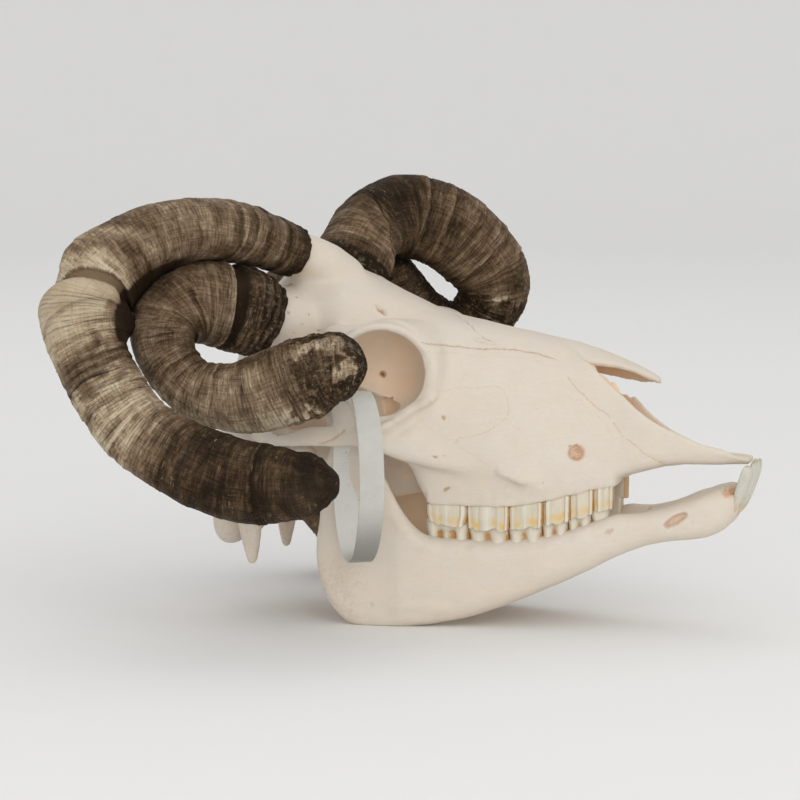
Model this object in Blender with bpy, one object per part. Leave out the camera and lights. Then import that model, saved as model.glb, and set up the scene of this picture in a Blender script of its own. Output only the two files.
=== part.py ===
"""A ram's skull with four horns, at life size, lower jaw in place and resting on it.

Run it with blender --background --python part.py, or from the text editor. +X is the nose, +Y the
skull's left side and +Z up. Sizes are in millimetres times MM; the skull is first built about a point
in its middle plane, between the cheek teeth and the eye, and the last step stands it on the floor.
"""

import math

import bmesh
import bpy
import numpy as np
from mathutils import Matrix, Vector

MM = 0.001
RIGHT, LEFT = -1, 1

# ---- driving dimensions, mm ---------------------------------------------------------------------
FLOOR = -94.0            # the level that the jaw's two angles and the lower left horn stand on
BONE_VOXEL = 1.25        # grain of the modelling clay that the bones are made of
GAP = 0.35               # clearance between pieces that touch
CRANIUM_FACES = 4200
JAW_FACES = 950

NASAL_TIP_X = 116.0
MUZZLE_TIP_X = 156.5
ORBIT = (4.5, 47.0, 16.5)        # centre of the eye's opening, on the left
ORBIT_RADIUS = 18.7
ORBIT_DEPTH = 29.0
CHEEK_TEETH_X = (99.5, 91.5, 83.0, 73.0, 58.0, 41.5, 21.5)   # borders of P2, P3, P4, M1, M2, M3
HORN_SIDES = 12
HORN_RINGS = 29
STRAP_WIDTH, STRAP_THICKNESS = 12.0, 0.9


# ---- small tools --------------------------------------------------------------------------------
def at(x, y, z):
    return Vector((x, y, z)) * MM


def clear_scene():
    for old in list(bpy.data.objects):
        bpy.data.objects.remove(old)


def new_object(name, mesh):
    made = bpy.data.objects.new(name, mesh)
    bpy.context.scene.collection.objects.link(made)
    return made


def skin(name, rings, closed_ends=True):
    """A tube of quads through rings of the same number of points, capped at both ends."""
    mesh = bpy.data.meshes.new(name)
    shape = bmesh.new()
    loops = [[shape.verts.new(point) for point in ring] for ring in rings]
    count = len(rings[0])
    for first, second in zip(loops, loops[1:]):
        for i in range(count):
            j = (i + 1) % count
            shape.faces.new((first[i], first[j], second[j], second[i]))
    if closed_ends:
        for loop in (loops[0], loops[-1]):
            middle = shape.verts.new(sum((v.co for v in loop), Vector()) / count)
            for i in range(count):
                shape.faces.new((loop[i], loop[(i + 1) % count], middle))
    bmesh.ops.recalc_face_normals(shape, faces=shape.faces)
    shape.to_mesh(mesh)
    shape.free()
    return new_object(name, mesh)


def rounded(angle, squareness):
    """A point of the unit superellipse: squareness 2 is a circle, and more is boxier."""
    c, s = math.cos(angle), math.sin(angle)
    power = 2.0 / squareness
    return math.copysign(abs(c) ** power, c), math.copysign(abs(s) ** power, s)


def loft(name, sections, sides=32):
    """A body along X. A section is (x, low, high, half width low, half width high, squareness)."""
    rings = []
    for x, low, high, wide_low, wide_high, squareness in sections:
        ring = []
        for i in range(sides):
            across, up = rounded(2 * math.pi * i / sides, squareness)
            half = (wide_low + wide_high) / 2 + up * (wide_high - wide_low) / 2
            ring.append(at(x, across * half, (low + high) / 2 + up * (high - low) / 2))
        rings.append(ring)
    return skin(name, rings)


def smooth_rows(rows, count):
    """Rows of numbers, the first three a place, run through a Catmull-Rom curve at even steps."""
    rows = np.array(rows, float)
    ends = np.vstack([2 * rows[0] - rows[1], rows, 2 * rows[-1] - rows[-2]])
    fine = []
    for k in range(len(rows) - 1):
        p0, p1, p2, p3 = ends[k:k + 4]
        for t in np.linspace(0, 1, 24, endpoint=False):
            fine.append(0.5 * (2 * p1 + (p2 - p0) * t + (2 * p0 - 5 * p1 + 4 * p2 - p3) * t**2
                               + (3 * p1 - p0 - 3 * p2 + p3) * t**3))
    fine = np.array(fine + [rows[-1]])
    run = np.concatenate([[0], np.cumsum(np.linalg.norm(np.diff(fine[:, :3], axis=0), axis=1))])
    steps = np.linspace(0, run[-1], count)
    return np.array([np.interp(steps, run, column) for column in fine.T]).T


def tube(name, rows, facing=(0, 1, 0), sides=14, count=20, squareness=2.0, blunt=0.0, ripple=None):
    """A tube along rows of (x, y, z, half width, half depth). Depth is measured towards facing.

    blunt is the share of the length over which the far end rounds off, and ripple scales a ring
    by its distance along the tube, in mm.
    """
    path = smooth_rows(rows, count)
    run = np.concatenate([[0], np.cumsum(np.linalg.norm(np.diff(path[:, :3], axis=0), axis=1))])
    rings = []
    for k, row in enumerate(path):
        before, after = path[max(k - 1, 0), :3], path[min(k + 1, count - 1), :3]
        along = Vector(after - before).normalized()
        deep = Vector(facing)
        deep = (deep - along * deep.dot(along)).normalized()
        wide = along.cross(deep)
        scale = ripple(run[k], run[-1]) if ripple else 1.0
        left = (1 - run[k] / run[-1]) / blunt if blunt else 1.0
        if left < 1:
            scale *= math.sqrt(max(1 - (1 - left) ** 2, 0.02))
        ring = []
        for i in range(sides):
            across, up = rounded(2 * math.pi * i / sides, squareness)
            ring.append((Vector(row[:3]) + (wide * across * row[3] + deep * up * row[4]) * scale) * MM)
        rings.append(ring)
    return skin(name, rings)


def lump(name, centre, radii, turn=(0, 0, 0)):
    """An ellipsoid, turned about X, Y and Z by degrees."""
    mesh = bpy.data.meshes.new(name)
    shape = bmesh.new()
    bmesh.ops.create_icosphere(shape, subdivisions=3, radius=1.0)
    spin = Matrix.Rotation(math.radians(turn[2]), 4, "Z") @ Matrix.Rotation(math.radians(turn[1]), 4, "Y")
    spin = spin @ Matrix.Rotation(math.radians(turn[0]), 4, "X")
    bmesh.ops.transform(shape, verts=shape.verts, matrix=Matrix.Translation(at(*centre)) @ spin
                        @ Matrix.Diagonal((*(Vector(radii) * MM), 1)))
    shape.to_mesh(mesh)
    shape.free()
    return new_object(name, mesh)


def block(name, low, high):
    mesh = bpy.data.meshes.new(name)
    shape = bmesh.new()
    bmesh.ops.create_cube(shape, size=1.0)
    middle, size = (Vector(low) + Vector(high)) / 2, Vector(high) - Vector(low)
    bmesh.ops.transform(shape, verts=shape.verts, matrix=Matrix.Translation(middle * MM)
                        @ Matrix.Diagonal((*(size * MM), 1)))
    shape.to_mesh(mesh)
    shape.free()
    return new_object(name, mesh)


def mirrored(shape):
    """The same shape on the other side of the skull."""
    twin = new_object(shape.name + "_twin", shape.data.copy())
    twin.data.transform(Matrix.Scale(-1, 4, (0, 1, 0)))
    twin.data.flip_normals()
    return twin


def both(shapes):
    return shapes + [mirrored(shape) for shape in shapes]


def finished(shape):
    """The object with its modifiers made real."""
    graph = bpy.context.evaluated_depsgraph_get()
    mesh = bpy.data.meshes.new_from_object(shape.evaluated_get(graph))
    shape.modifiers.clear()
    shape.data = mesh
    return shape


def joined(name, shapes):
    """One object holding every shape; its overlaps are united later, by the remesh."""
    mesh = bpy.data.meshes.new(name)
    whole = bmesh.new()
    for shape in shapes:
        whole.from_mesh(shape.data)
        bpy.data.objects.remove(shape)
    whole.to_mesh(mesh)
    whole.free()
    return new_object(name, mesh)


def melt(shape, voxel, passes):
    """Unites all that overlaps into one skin, then softens it."""
    grain = shape.modifiers.new("grain", "REMESH")
    grain.mode = "VOXEL"
    grain.voxel_size = voxel * MM
    if passes:
        soften = shape.modifiers.new("soften", "SMOOTH")
        soften.factor = 0.5
        soften.iterations = passes
    return finished(shape)


def carve(shape, cutters):
    """Takes each cutter away from the shape."""
    for cutter in cutters:
        cut = shape.modifiers.new("cut", "BOOLEAN")
        cut.operation = "DIFFERENCE"
        cut.object = cutter
        finished(shape)
        bpy.data.objects.remove(cutter)
    return shape


def coarser(shape, faces):
    """Fewer, larger triangles."""
    have = sum(len(face.vertices) - 2 for face in shape.data.polygons)
    fewer = shape.modifiers.new("fewer", "DECIMATE")
    fewer.ratio = min(1.0, faces / have)
    fewer.use_collapse_triangulate = True
    return finished(shape)


def largest_body(shape):
    """Drops crumbs that a cut leaves loose."""
    whole = bmesh.new()
    whole.from_mesh(shape.data)
    left, bodies = set(whole.verts), []
    while left:
        body, edge = set(), [next(iter(left))]
        while edge:
            vert = edge.pop()
            if vert in body:
                continue
            body.add(vert)
            edge += [e.other_vert(vert) for e in vert.link_edges]
        left -= body
        bodies.append(body)
    keep = max(bodies, key=len)
    bmesh.ops.delete(whole, geom=[v for v in whole.verts if v not in keep], context="VERTS")
    whole.to_mesh(shape.data)
    whole.free()
    return shape


# ---- the cranium --------------------------------------------------------------------------------
def face_and_roof():
    """The long wedge of the face, the broad forehead above the eyes, and the braincase behind."""
    face = loft("face", [
        # x, low, high, half width low, half width high, squareness
        (-30, -22, 46, 22, 26, 2.3),
        (-12, -26, 46, 22, 34, 2.5),
        (8, -30, 42, 26, 32, 2.7),
        (22, -41, 38.6, 33, 26, 3.0),
        (44, -41.5, 34.4, 35, 20, 3.1),
        (64, -40, 30.7, 32, 17, 3.0),
        (84, -36, 26.3, 24.5, 15, 2.9),
        (101, -31.5, 8, 19.4, 14.5, 2.9)])
    flank = loft("flank", [
        (-4, -13.5, 2, 52, 47, 2.4),
        (8, -17, 2, 47.5, 44.5, 2.6),
        (22, -23, 10, 42, 39, 2.8),
        (40, -28, 18, 38.6, 32, 2.8),
        (58, -31, 16, 35, 27.5, 2.8),
        (76, -30, 8, 28.5, 24.5, 2.6)])
    forehead = loft("forehead", [
        (-58, 26, 47, 24, 15, 2.2),
        (-48, 24, 58, 33, 22, 2.3),
        (-36, 24, 64.5, 39, 27, 2.3),
        (-18, 22, 57.5, 45, 29, 2.3),
        (0, 20, 48.5, 48, 26, 2.3),
        (15, 18, 41.4, 43, 24, 2.3),
        (32, 16, 36.6, 33, 19, 2.4)])
    braincase = lump("braincase", (-41, 0, 10), (33, 34, 42), (0, 14, 0))
    nape = lump("nape", (-65, 0, -18), (15, 33, 28), (0, 4, 0))
    base = loft("base", [
        (-74, -54, -30, 13, 15, 2.4),
        (-60, -50, -24, 13, 20, 2.4),
        (-40, -42, -16, 11, 20, 2.4),
        (-14, -36, -14, 9, 16, 2.4),
        (14, -36, -10, 12, 18, 2.4)])
    return [face, flank, forehead, braincase, nape, base]


def muzzle():
    """The two upper front bones: a trough with thin walls, open above."""
    outside = [
        (78, -34, 25, 25, 20, 3.0),
        (90, -31, 16.2, 22.6, 21, 3.0),
        (101, -29, 5.6, 19.4, 19.6, 3.0),
        (112, -27.2, -4.6, 17.0, 17.4, 3.0),
        (124, -25.4, -12.2, 14.4, 14.4, 3.0),
        (139, -24.8, -16.8, 12.2, 11.6, 2.8),
        (151, -24.6, -19.4, 10.0, 9.0, 2.5),
        (MUZZLE_TIP_X, -24.2, -21.4, 7.0, 6.2, 2.2)]
    wall, floor = 2.9, 4.5
    hollow = [(x, low + floor, high + 26, wide_low - wall, wide_high - wall, 2.6)
              for x, low, high, wide_low, wide_high, _ in outside[:6]]
    return loft("muzzle", outside), loft("nose_hollow", hollow)


def nose_roof():
    """The nasal bones: an arched blade, free in front, its left edge hanging a little lower."""
    rows = [
        # x, crown height, half width, drop of the right edge, drop of the left edge
        (34, 36.0, 15, 11, 11), (52, 32.8, 17, 12, 12), (68, 30.0, 17, 10.5, 12), (80, 27.6, 16, 7.5, 12),
        (90, 24.7, 14, 4.2, 10.5), (99, 21.6, 11.6, 2.2, 9.0), (107, 18.2, 8.4, 1.4, 6.4),
        (113, 15.0, 4.8, 1.0, 3.4), (NASAL_TIP_X, 12.9, 1.8, 0.8, 1.2)]
    thickness, across = 2.4, 17
    rings = []
    for x, crown, half, *drops in rows:
        outer, inner = [], []
        for i in range(across):
            share = 2 * i / (across - 1) - 1
            z = crown - drops[share > 0] * abs(share) ** 2.3
            outer.append(at(x, share * half, z))
            inner.append(at(x, share * half * 0.93, z - thickness))
        rings.append(outer + inner[::-1])
    return skin("nose_roof", rings)


def eye_socket():
    """The rim round the eye, on a funnel of bone that grows out of the face, left side."""
    x, y, z = ORBIT
    ring = []
    for i in range(25):
        turn = 2 * math.pi * i / 24
        corner = max(0, math.cos(turn - math.radians(232))) ** 2
        reach = 20.2 + 2.8 * corner - 0.5 * max(0, math.sin(turn)) ** 2
        ring.append((x + reach * math.cos(turn),
                     y - 0.5 - 6.5 * math.cos(turn) + 1.5 * math.sin(turn) + 3.5 * corner,
                     z + reach * math.sin(turn), 2.6, 3.6 + 0.6 * math.cos(turn) - 0.6 * corner))
    rim = tube("eye_rim", ring, facing=(0.1, 1, 0.1), sides=12, count=48)
    funnel = tube("eye_funnel", [
        (x + 6, 16, z - 2, 24, 24), (x + 3, 30, z - 1, 24, 23), (x + 1, 41, z, 23, 22.5)],
        facing=(0, 0, 1), sides=24, count=8)
    brow = tube("brow", [(26, 36, 23, 5, 6), (10, 41, 32, 6, 5), (-8, 45, 31.5, 6, 5), (-20, 42, 31, 7, 6)],
                facing=(0, 0, 1), sides=12, count=14)
    return [rim, funnel, brow]


def cheek():
    """The cheekbone: the strut below the eye, the bar behind it and the arch to the ear, left side."""
    malar = tube("malar", [
        (40, 34, -22, 6, 4), (22, 41, -17, 7, 4), (6, 50.5, -11, 6.5, 3.8), (-8, 54.8, -9, 5, 3.4)],
        facing=(0, 1, 0.2), sides=14, count=16)
    arch = tube("arch", [
        (0, 53, -7.5, 6, 3.6), (-12, 56, -10, 5, 3.2), (-24, 56.5, -10.5, 4.4, 3.2),
        (-34, 53, -11, 4.6, 4), (-43, 44, -12, 5, 6), (-50, 32, -12, 6, 8)],
        facing=(0, 1, 0), sides=12, count=22)
    bar = tube("eye_bar", [
        (-17, 42, 34, 6, 5), (-16, 50, 22, 4.6, 3.8), (-13, 54.5, 8, 4.2, 3.4), (-9, 55.5, -6, 5, 3.6)],
        facing=(0.3, 1, 0), sides=12, count=16)
    joint = lump("jaw_socket", (-36, 43, -13), (10, 11, 3.6))
    swelling = lump("cheek_swelling", (58, 33.2, -26.5), (13, 3.6, 4), (0, 20, 0))
    return [malar, arch, bar, joint, swelling]


def skull_base():
    """Ear region, jugular processes, condyles and the plates behind the palate, left side."""
    ear = tube("ear", [(-52, 22, -18, 9, 9), (-52, 34, -20, 6, 6), (-52, 39, -21, 4.6, 4.6)],
               facing=(0, 0, 1), count=8)
    bulla = lump("bulla", (-49, 19, -44), (12, 8, 10), (0, -15, 0))
    mastoid = lump("mastoid", (-62, 29, -26), (10, 8, 22), (0, 8, 0))
    process = tube("jugular_process", [
        (-62, 29, -30, 8, 5), (-61, 28.5, -46, 6.5, 3.2), (-60.6, 26.5, -60, 4.4, 2.6),
        (-60.4, 25.2, -71, 1.8, 1.8)], facing=(0, 1, 0), count=14)
    condyle = lump("condyle", (-73, 12.5, -51.5), (9.5, 9.5, 13.5), (0, 12, 0))
    plate = tube("wing_plate", [
        (18, 14, -34, 4, 2.2), (2, 11, -34, 8, 2.0), (-10, 11, -35, 7, 1.8), (-18, 12, -34, 4, 1.8)],
        facing=(0, 1, 0), count=12)
    return [ear, bulla, mastoid, process, condyle, plate]


def tooth_bed():
    """The ridge of the upper jaw that the cheek teeth stand in, left side."""
    return tube("tooth_bed", [
        (99, 13.6, -31.5, 5.5, 5.2), (90, 16.5, -33.2, 7, 6), (77, 21.6, -34.6, 7.2, 6.6),
        (60, 26.4, -34.8, 7.4, 7.2), (40, 28.3, -34.6, 7.4, 7.2), (20, 27.8, -34, 7.2, 7)],
        facing=(0, 1, 0), count=14, squareness=3.0)


def horn_stumps():
    """The bony cores that the horns sit on. The left ones don't mirror the right ones quite."""
    upper_right = tube("upper_right_stump", [
        (-24, -4, 50, 13, 15), (-33, -15, 60, 11.5, 15), (-41, -24, 66, 9.5, 14), (-47, -31, 69, 8, 11)],
        facing=(0.26, -0.96, 0.1), count=8)
    upper_left = tube("upper_left_stump", [
        (-27, 14, 44, 15, 14), (-28, 20, 54, 15, 15), (-27, 25, 62, 14, 15), (-26, 29, 67, 12, 12)],
        facing=(-0.3, 0.9, 0.1), count=8)
    lower = tube("lower_stump", [
        (-34, 20, 32, 15, 15), (-43, 32, 38, 13.5, 15), (-50, 40, 40, 12, 14), (-54, 45, 41.5, 9, 11)],
        facing=(0, 1, 0), count=8)
    return [upper_right, upper_left, *both([lower])]


def occlusal_height(x):
    """Where the upper and lower cheek teeth meet."""
    return float(np.interp(x, (22, 45, 66, 84, 100), (-49.5, -51.0, -50.3, -46.8, -42.6)))


def cheek_tooth(name, back, front, outer_y, depth, top, bottom, lobes):
    """One grinding tooth: a block with an upright rib at each lobe, its sides drawn in between."""
    sides = 8 * lobes
    rings = []
    for z, grow in ((top, 0.92), ((top + bottom) / 2, 1.0), (bottom, 0.97)):
        ring = []
        for i in range(sides):
            turn = 2 * math.pi * i / sides
            across, along = rounded(turn, 5.0)
            x = (front + back) / 2 + across * (front - back) / 2 * 0.97
            lobe_share = (across + 1) / 2 * lobes
            rib = 0.5 * (1 + math.cos(2 * math.pi * (lobe_share - 0.5)))
            y = outer_y - depth / 2 + along * depth / 2 * (0.86 + 0.14 * rib) * grow
            ring.append(at(x, y, z))
        rings.append(ring)
    return skin(name, rings)


def tooth_row(kind):
    """The six cheek teeth of the left side, above or below."""
    teeth = []
    for n, (front, back) in enumerate(zip(CHEEK_TEETH_X, CHEEK_TEETH_X[1:])):
        middle = (front + back) / 2
        meet = occlusal_height(middle)
        lobes = 2 if n > 2 else 1
        if kind == "upper":
            outer = float(np.interp(middle, (30, 60, 78, 96), (34.5, 32.6, 27, 18.6)))
            teeth.append(cheek_tooth(f"upper_tooth_{n}", back, front, outer, 9 + min(n, 3) * 1.2,
                                     meet + 15, meet + GAP, lobes))
        else:
            outer = float(np.interp(middle, (30, 60, 78, 96), (30.5, 27.6, 23, 16.8)))
            teeth.append(cheek_tooth(f"lower_tooth_{n}", back, front, outer, 6.4 + min(n, 3) * 0.6,
                                     meet - GAP, meet - 20, lobes))
    return teeth


def cranium():
    outer_muzzle, nose_hollow = muzzle()
    solid = joined("cranium", face_and_roof() + both(eye_socket() + cheek() + skull_base() + [tooth_bed()])
                   + horn_stumps() + [outer_muzzle])
    melt(solid, BONE_VOXEL, 5)
    x, y, z = ORBIT
    sockets = both([lump("eye_hollow", (x, y + 3, z), (ORBIT_RADIUS, ORBIT_DEPTH + 3, ORBIT_RADIUS - 0.4),
                         (0, 0, -6))])
    brain_hole = lump("great_foramen", (-86, 0, -37), (22, 10, 9), (0, 24, 0))
    palate = loft("palate_hollow", [
        (12, -60, -32, 14, 12, 2.6), (30, -60, -31, 19, 16, 2.6), (60, -60, -32, 19, 15, 2.6),
        (85, -56, -30, 13.5, 10, 2.6), (104, -52, -27.5, 10, 7, 2.6), (150, -52, -26, 7, 4, 2.4)])
    throat = tube("throat", [(24, 0, -36, 7, 8), (6, 0, -30, 7, 8), (-14, 0, -44, 6, 10)],
                  facing=(0, 1, 0), count=8)
    temple = both([lump("temple_hollow", (-32, 46, 6), (16, 14, 24)),
                   lump("jaw_space", (-7, 36, -13), (20, 13.5, 23), (0, 10, 0))])
    carve(solid, [nose_hollow, *sockets, brain_hole, palate, throat, *temple])
    solid = joined("cranium", [solid, nose_roof(), *both(tooth_row("upper"))])
    melt(solid, BONE_VOXEL, 3)
    return coarser(largest_body(solid), CRANIUM_FACES)


# ---- the lower jaw ------------------------------------------------------------------------------
JAW_OUTLINE = (
    # condyle, notch and coronoid process
    (-37, -22), (-33, -18), (-27, -19), (-22, -22), (-20, -12), (-25, 2), (-28, 12), (-23, 16), (-14, 6),
    # front edge of the ramus and the rim that the cheek teeth stand in
    (-5, -12), (3, -28), (10, -42), (17, -52), (25, -57), (50, -60.5), (76, -57), (99, -49),
    # toothless bar, front teeth's rim, chin
    (112, -45), (125, -40.5), (136, -35.6), (144, -32.7), (150, -32.4), (153, -37), (149.5, -46.5),
    (143, -52.5),
    # lower border back to the angle
    (135, -55.4), (120, -56.9), (107, -60.6), (87, -70), (66, -79.8), (45, -88), (24, -93), (10, -94.3),
    (-3, -95.0), (-14.3, -92.6), (-21.6, -84.2), (-25.2, -75), (-27, -66), (-26.6, -56), (-25, -46),
    (-26, -36), (-33, -28))


def jaw_middle(x, z):
    """How far from the skull's middle plane the jaw's plate runs."""
    body = float(np.interp(x, (-30, 10, 30, 50, 75, 99, 115, 130, 142, 156),
                           (38.5, 36, 31, 27, 22.5, 16.6, 12.6, 9.2, 7.6, 6.4)))
    lean = min(max((z + 72) / 50, 0), 1.2) * min(max((24 - x) / 30, 0), 1)
    return body + 3.5 * lean


def jaw_half_thickness(x, z):
    body = float(np.interp(x, (-30, 5, 22, 50, 80, 105, 120, 135, 156),
                           (3.0, 3.2, 5.6, 6.4, 5.8, 5.0, 6.2, 7.2, 6.3)))
    return body


def jaw(side):
    """One half of the lower jaw, with its cheek teeth and four front teeth."""
    name = "mandible_right" if side == RIGHT else "mandible_left"
    outline = smooth_rows([(x, 0, z) for x, z in JAW_OUTLINE + JAW_OUTLINE[:1]], 130)[:-1]
    plate = skin("plate", [[at(x, y, z) for x, _, z in outline] for y in (-1.0, 1.0)], closed_ends=False)
    whole = bmesh.new()
    whole.from_mesh(plate.data)
    for y in (-1.0, 1.0):
        edge = [e for e in whole.edges if e.is_boundary and (e.verts[0].co.y > 0) == (y > 0)]
        bmesh.ops.triangle_fill(whole, edges=edge, use_beauty=True)
    bmesh.ops.recalc_face_normals(whole, faces=whole.faces)
    bmesh.ops.scale(whole, verts=whole.verts, vec=(1, 6, 1))
    whole.to_mesh(plate.data)
    whole.free()
    melt(plate, BONE_VOXEL, 2)
    for vert in plate.data.vertices:
        x, y, z = vert.co / MM
        vert.co.y = (jaw_middle(x, z) + y / 6 * jaw_half_thickness(x, z)) * MM
    head = lump("jaw_head", (-32, 42.5, -20.5), (5.2, 10.5, 4.6), (0, 0, 8))
    chin = tube("chin", [(112, 9, -51, 7, 6), (126, 7.6, -48, 8, 7.4), (138, 7.2, -44, 9, 7.2),
                         (147, 6.6, -40, 6.5, 6.4)], facing=(0, 1, 0), count=12)
    shape = joined(name, [plate, head, chin, *tooth_row("lower"), *front_teeth()])
    melt(shape, BONE_VOXEL * 0.9, 2)
    carve(shape, [block("middle_cut", (90, -20, -70), (175, GAP / 2, 0)),
                  block("floor_cut", (-60, 0, FLOOR - 20), (120, 80, FLOOR))])
    shape = coarser(largest_body(shape), JAW_FACES)
    if side == RIGHT:
        shape.data.transform(Matrix.Scale(-1, 4, (0, 1, 0)))
        shape.data.flip_normals()
    return shape


def front_teeth():
    """Four spade-shaped front teeth of the left half, fanned out from the chin."""
    teeth = []
    for n, (root_y, tip_y, tip_x) in enumerate(((3.0, 3.0, 158.8), (6.2, 8.4, 158.0),
                                                (8.8, 12.6, 156.0), (10.4, 15.0, 153.6))):
        root_x = 147.5 - 1.3 * n
        teeth.append(tube(f"front_tooth_{n}", [
            (root_x - 3, root_y, -46, 1.8, 1.8), (root_x + 3.4, root_y + 0.3, -37, 2.0, 2.0),
            (tip_x - 2.2, (root_y + tip_y) / 2 + 0.6, -29, 2.6, 1.7), (tip_x, tip_y, -22, 2.9, 0.9)],
            facing=(1, 0, -0.3), sides=10, count=10))
    return teeth


# ---- the horns ----------------------------------------------------------------------------------
def horn(name, rows, facing, ripple=None, blunt=0.06):
    """A horn sheath along rows of (x, y, z, half width, half depth)."""
    return tube(name, rows, facing, sides=HORN_SIDES, count=HORN_RINGS, squareness=2.3,
                blunt=blunt, ripple=ripple)


def broken_step(place, depth=0.16, reach=7.0):
    """A ring where growth once stopped: a sharp step on the base side, easing off towards the tip."""
    def ripple(run, _length):
        past = run - place
        return 1 - depth * math.exp(-past / reach) if past > 0 else 1 - depth * math.exp(past / 1.5)
    return ripple


def horns():
    sight = (0.26, -0.96, 0.1)      # the right horns' broad sides face the right, a little forward
    upper_right = horn("horn_upper_right", [
        (-42.5, -26, 66.4, 11.4, 16.5), (-57.6, -45, 75, 12.3, 17), (-73.3, -64, 77.6, 12.9, 17),
        (-90.5, -82, 72.2, 14.2, 16.5), (-104.5, -94, 60.5, 15.6, 16), (-110.4, -101, 47, 17.0, 15.5),
        (-105.4, -107, 29, 15.8, 15), (-88.4, -112, 2.8, 15.4, 14.5), (-71.5, -115, -9.6, 15.8, 14.5),
        (-46, -119, -19.4, 16.8, 14), (-29, -122, -22.3, 16.7, 13.5), (-11, -126, -22.2, 14.3, 12),
        (2, -128, -20, 11.6, 10), (9, -129, -18.2, 8, 8)], sight, broken_step(101, 0.1, 9))
    lower_right = horn("horn_lower_right", [
        (-50, -41, 38.2, 17, 16.5), (-57, -50, 42.2, 18.2, 17), (-64, -58, 45.2, 18.2, 17), (-74, -67, 46, 17, 16),
        (-81.5, -75, 39.6, 15, 15), (-82, -80, 31, 13.4, 14), (-77, -84, 21.4, 12, 13.5),
        (-66, -87, 12, 12.4, 13), (-53, -89, 9, 13.8, 12.5), (-39, -90, 10, 15.8, 12),
        (-20.5, -90, 16.3, 17.2, 11.5), (-7, -89, 21.6, 15, 11), (2, -88, 22.8, 12.6, 10),
        (9.5, -88, 22.8, 8.5, 8)], sight)
    back = (-0.3, 0.9, 0.1)
    upper_left = horn("horn_upper_left", [
        (-28.4, 20, 56.6, 17.8, 18.5), (-25, 33, 71, 16.2, 17), (-19, 44, 77.4, 16.8, 16.5),
        (-10.8, 54, 78.8, 18.8, 16), (3.9, 63, 73.1, 19, 15.5), (12.5, 70, 65.5, 18.6, 15),
        (20.4, 77, 55.6, 17.5, 14.5), (22.8, 81, 45.3, 16.6, 13.5), (19.2, 84, 35.3, 15.2, 12.5),
        (9.2, 84, 26.2, 13.2, 11.5), (-2, 80, 25.2, 13.6, 10.5), (-12, 74, 32, 14, 10),
        (-19.6, 68, 44, 13.2, 9), (-24, 64, 55, 11.4, 8), (-26, 62, 62, 8.4, 6)], back)
    lower_left = horn("horn_lower_left", [
        (-50, 41, 40, 14.6, 16.5), (-62, 56, 43, 15.6, 16.5), (-73, 70, 33, 15.6, 16.5),
        (-78, 82, 10, 15.6, 16), (-76, 91, -20, 15.4, 15.5), (-67, 96, -48, 15.2, 15),
        (-54.5, 99, -68, 15, 14.5), (-38, 101, -79.2, 14.8, 14), (-18, 100, -77, 13.6, 13),
        (0, 97, -69, 12, 11), (10, 95, -62, 9, 8.5)], (0.35, 0.93, 0))
    return [upper_right, lower_right, upper_left, lower_left]


# ---- the specimen's tag -------------------------------------------------------------------------
def tag_strap():
    """A loop of flat plastic strap that hangs round the cheekbone, through the eye socket."""
    middle, half_height, half_depth, turn = at(-1.0, -60.5, -26.5), 36.0, 15.5, math.radians(24)
    steps = 32
    along = Vector((math.cos(turn), math.sin(turn), 0))
    inward = Vector((-math.sin(turn), math.cos(turn), 0))
    rings = []
    for i in range(steps):
        spot = 2 * math.pi * i / steps
        ring = []
        for wide, thick in ((-1, -1), (1, -1), (1, 1), (-1, 1)):
            across, up = rounded(spot, 2.3)
            deep = (half_depth + thick * STRAP_THICKNESS / 2) * across
            high = (half_height + thick * STRAP_THICKNESS / 2) * up
            ring.append(middle + (along * (wide * STRAP_WIDTH / 2) + inward * deep) * MM
                        + Vector((0, 0, high * MM)))
        rings.append(ring)
    loop = skin("tag_strap", rings + rings[:1], closed_ends=False)
    whole = bmesh.new()
    whole.from_mesh(loop.data)
    bmesh.ops.remove_doubles(whole, verts=whole.verts, dist=1e-6)
    bmesh.ops.recalc_face_normals(whole, faces=whole.faces)
    whole.to_mesh(loop.data)
    whole.free()
    return loop


# ---- finish and standing ------------------------------------------------------------------------
def material(name, colour, roughness):
    made = bpy.data.materials.new(name)
    made.use_nodes = True
    shader = made.node_tree.nodes["Principled BSDF"]
    shader.inputs["Base Color"].default_value = (*colour, 1)
    shader.inputs["Roughness"].default_value = roughness
    shader.inputs["Metallic"].default_value = 0.0
    return made


def swollen(shape, by):
    """A copy whose skin lies a little further out, to cut a neighbour back with a gap."""
    copy = new_object(shape.name + "_swollen", shape.data.copy())
    out = copy.modifiers.new("out", "DISPLACE")
    out.strength = by * MM
    out.mid_level = 0.0
    return finished(copy)


def stand(shapes):
    """Moves all pieces so that the floor is z = 0 and the box's middle is the origin."""
    corners = np.array([vert.co for shape in shapes for vert in shape.data.vertices])
    low, high = corners.min(0), corners.max(0)
    shift = Matrix.Translation((-(low[0] + high[0]) / 2, -(low[1] + high[1]) / 2, -low[2]))
    for shape in shapes:
        shape.data.transform(shift)


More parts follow.
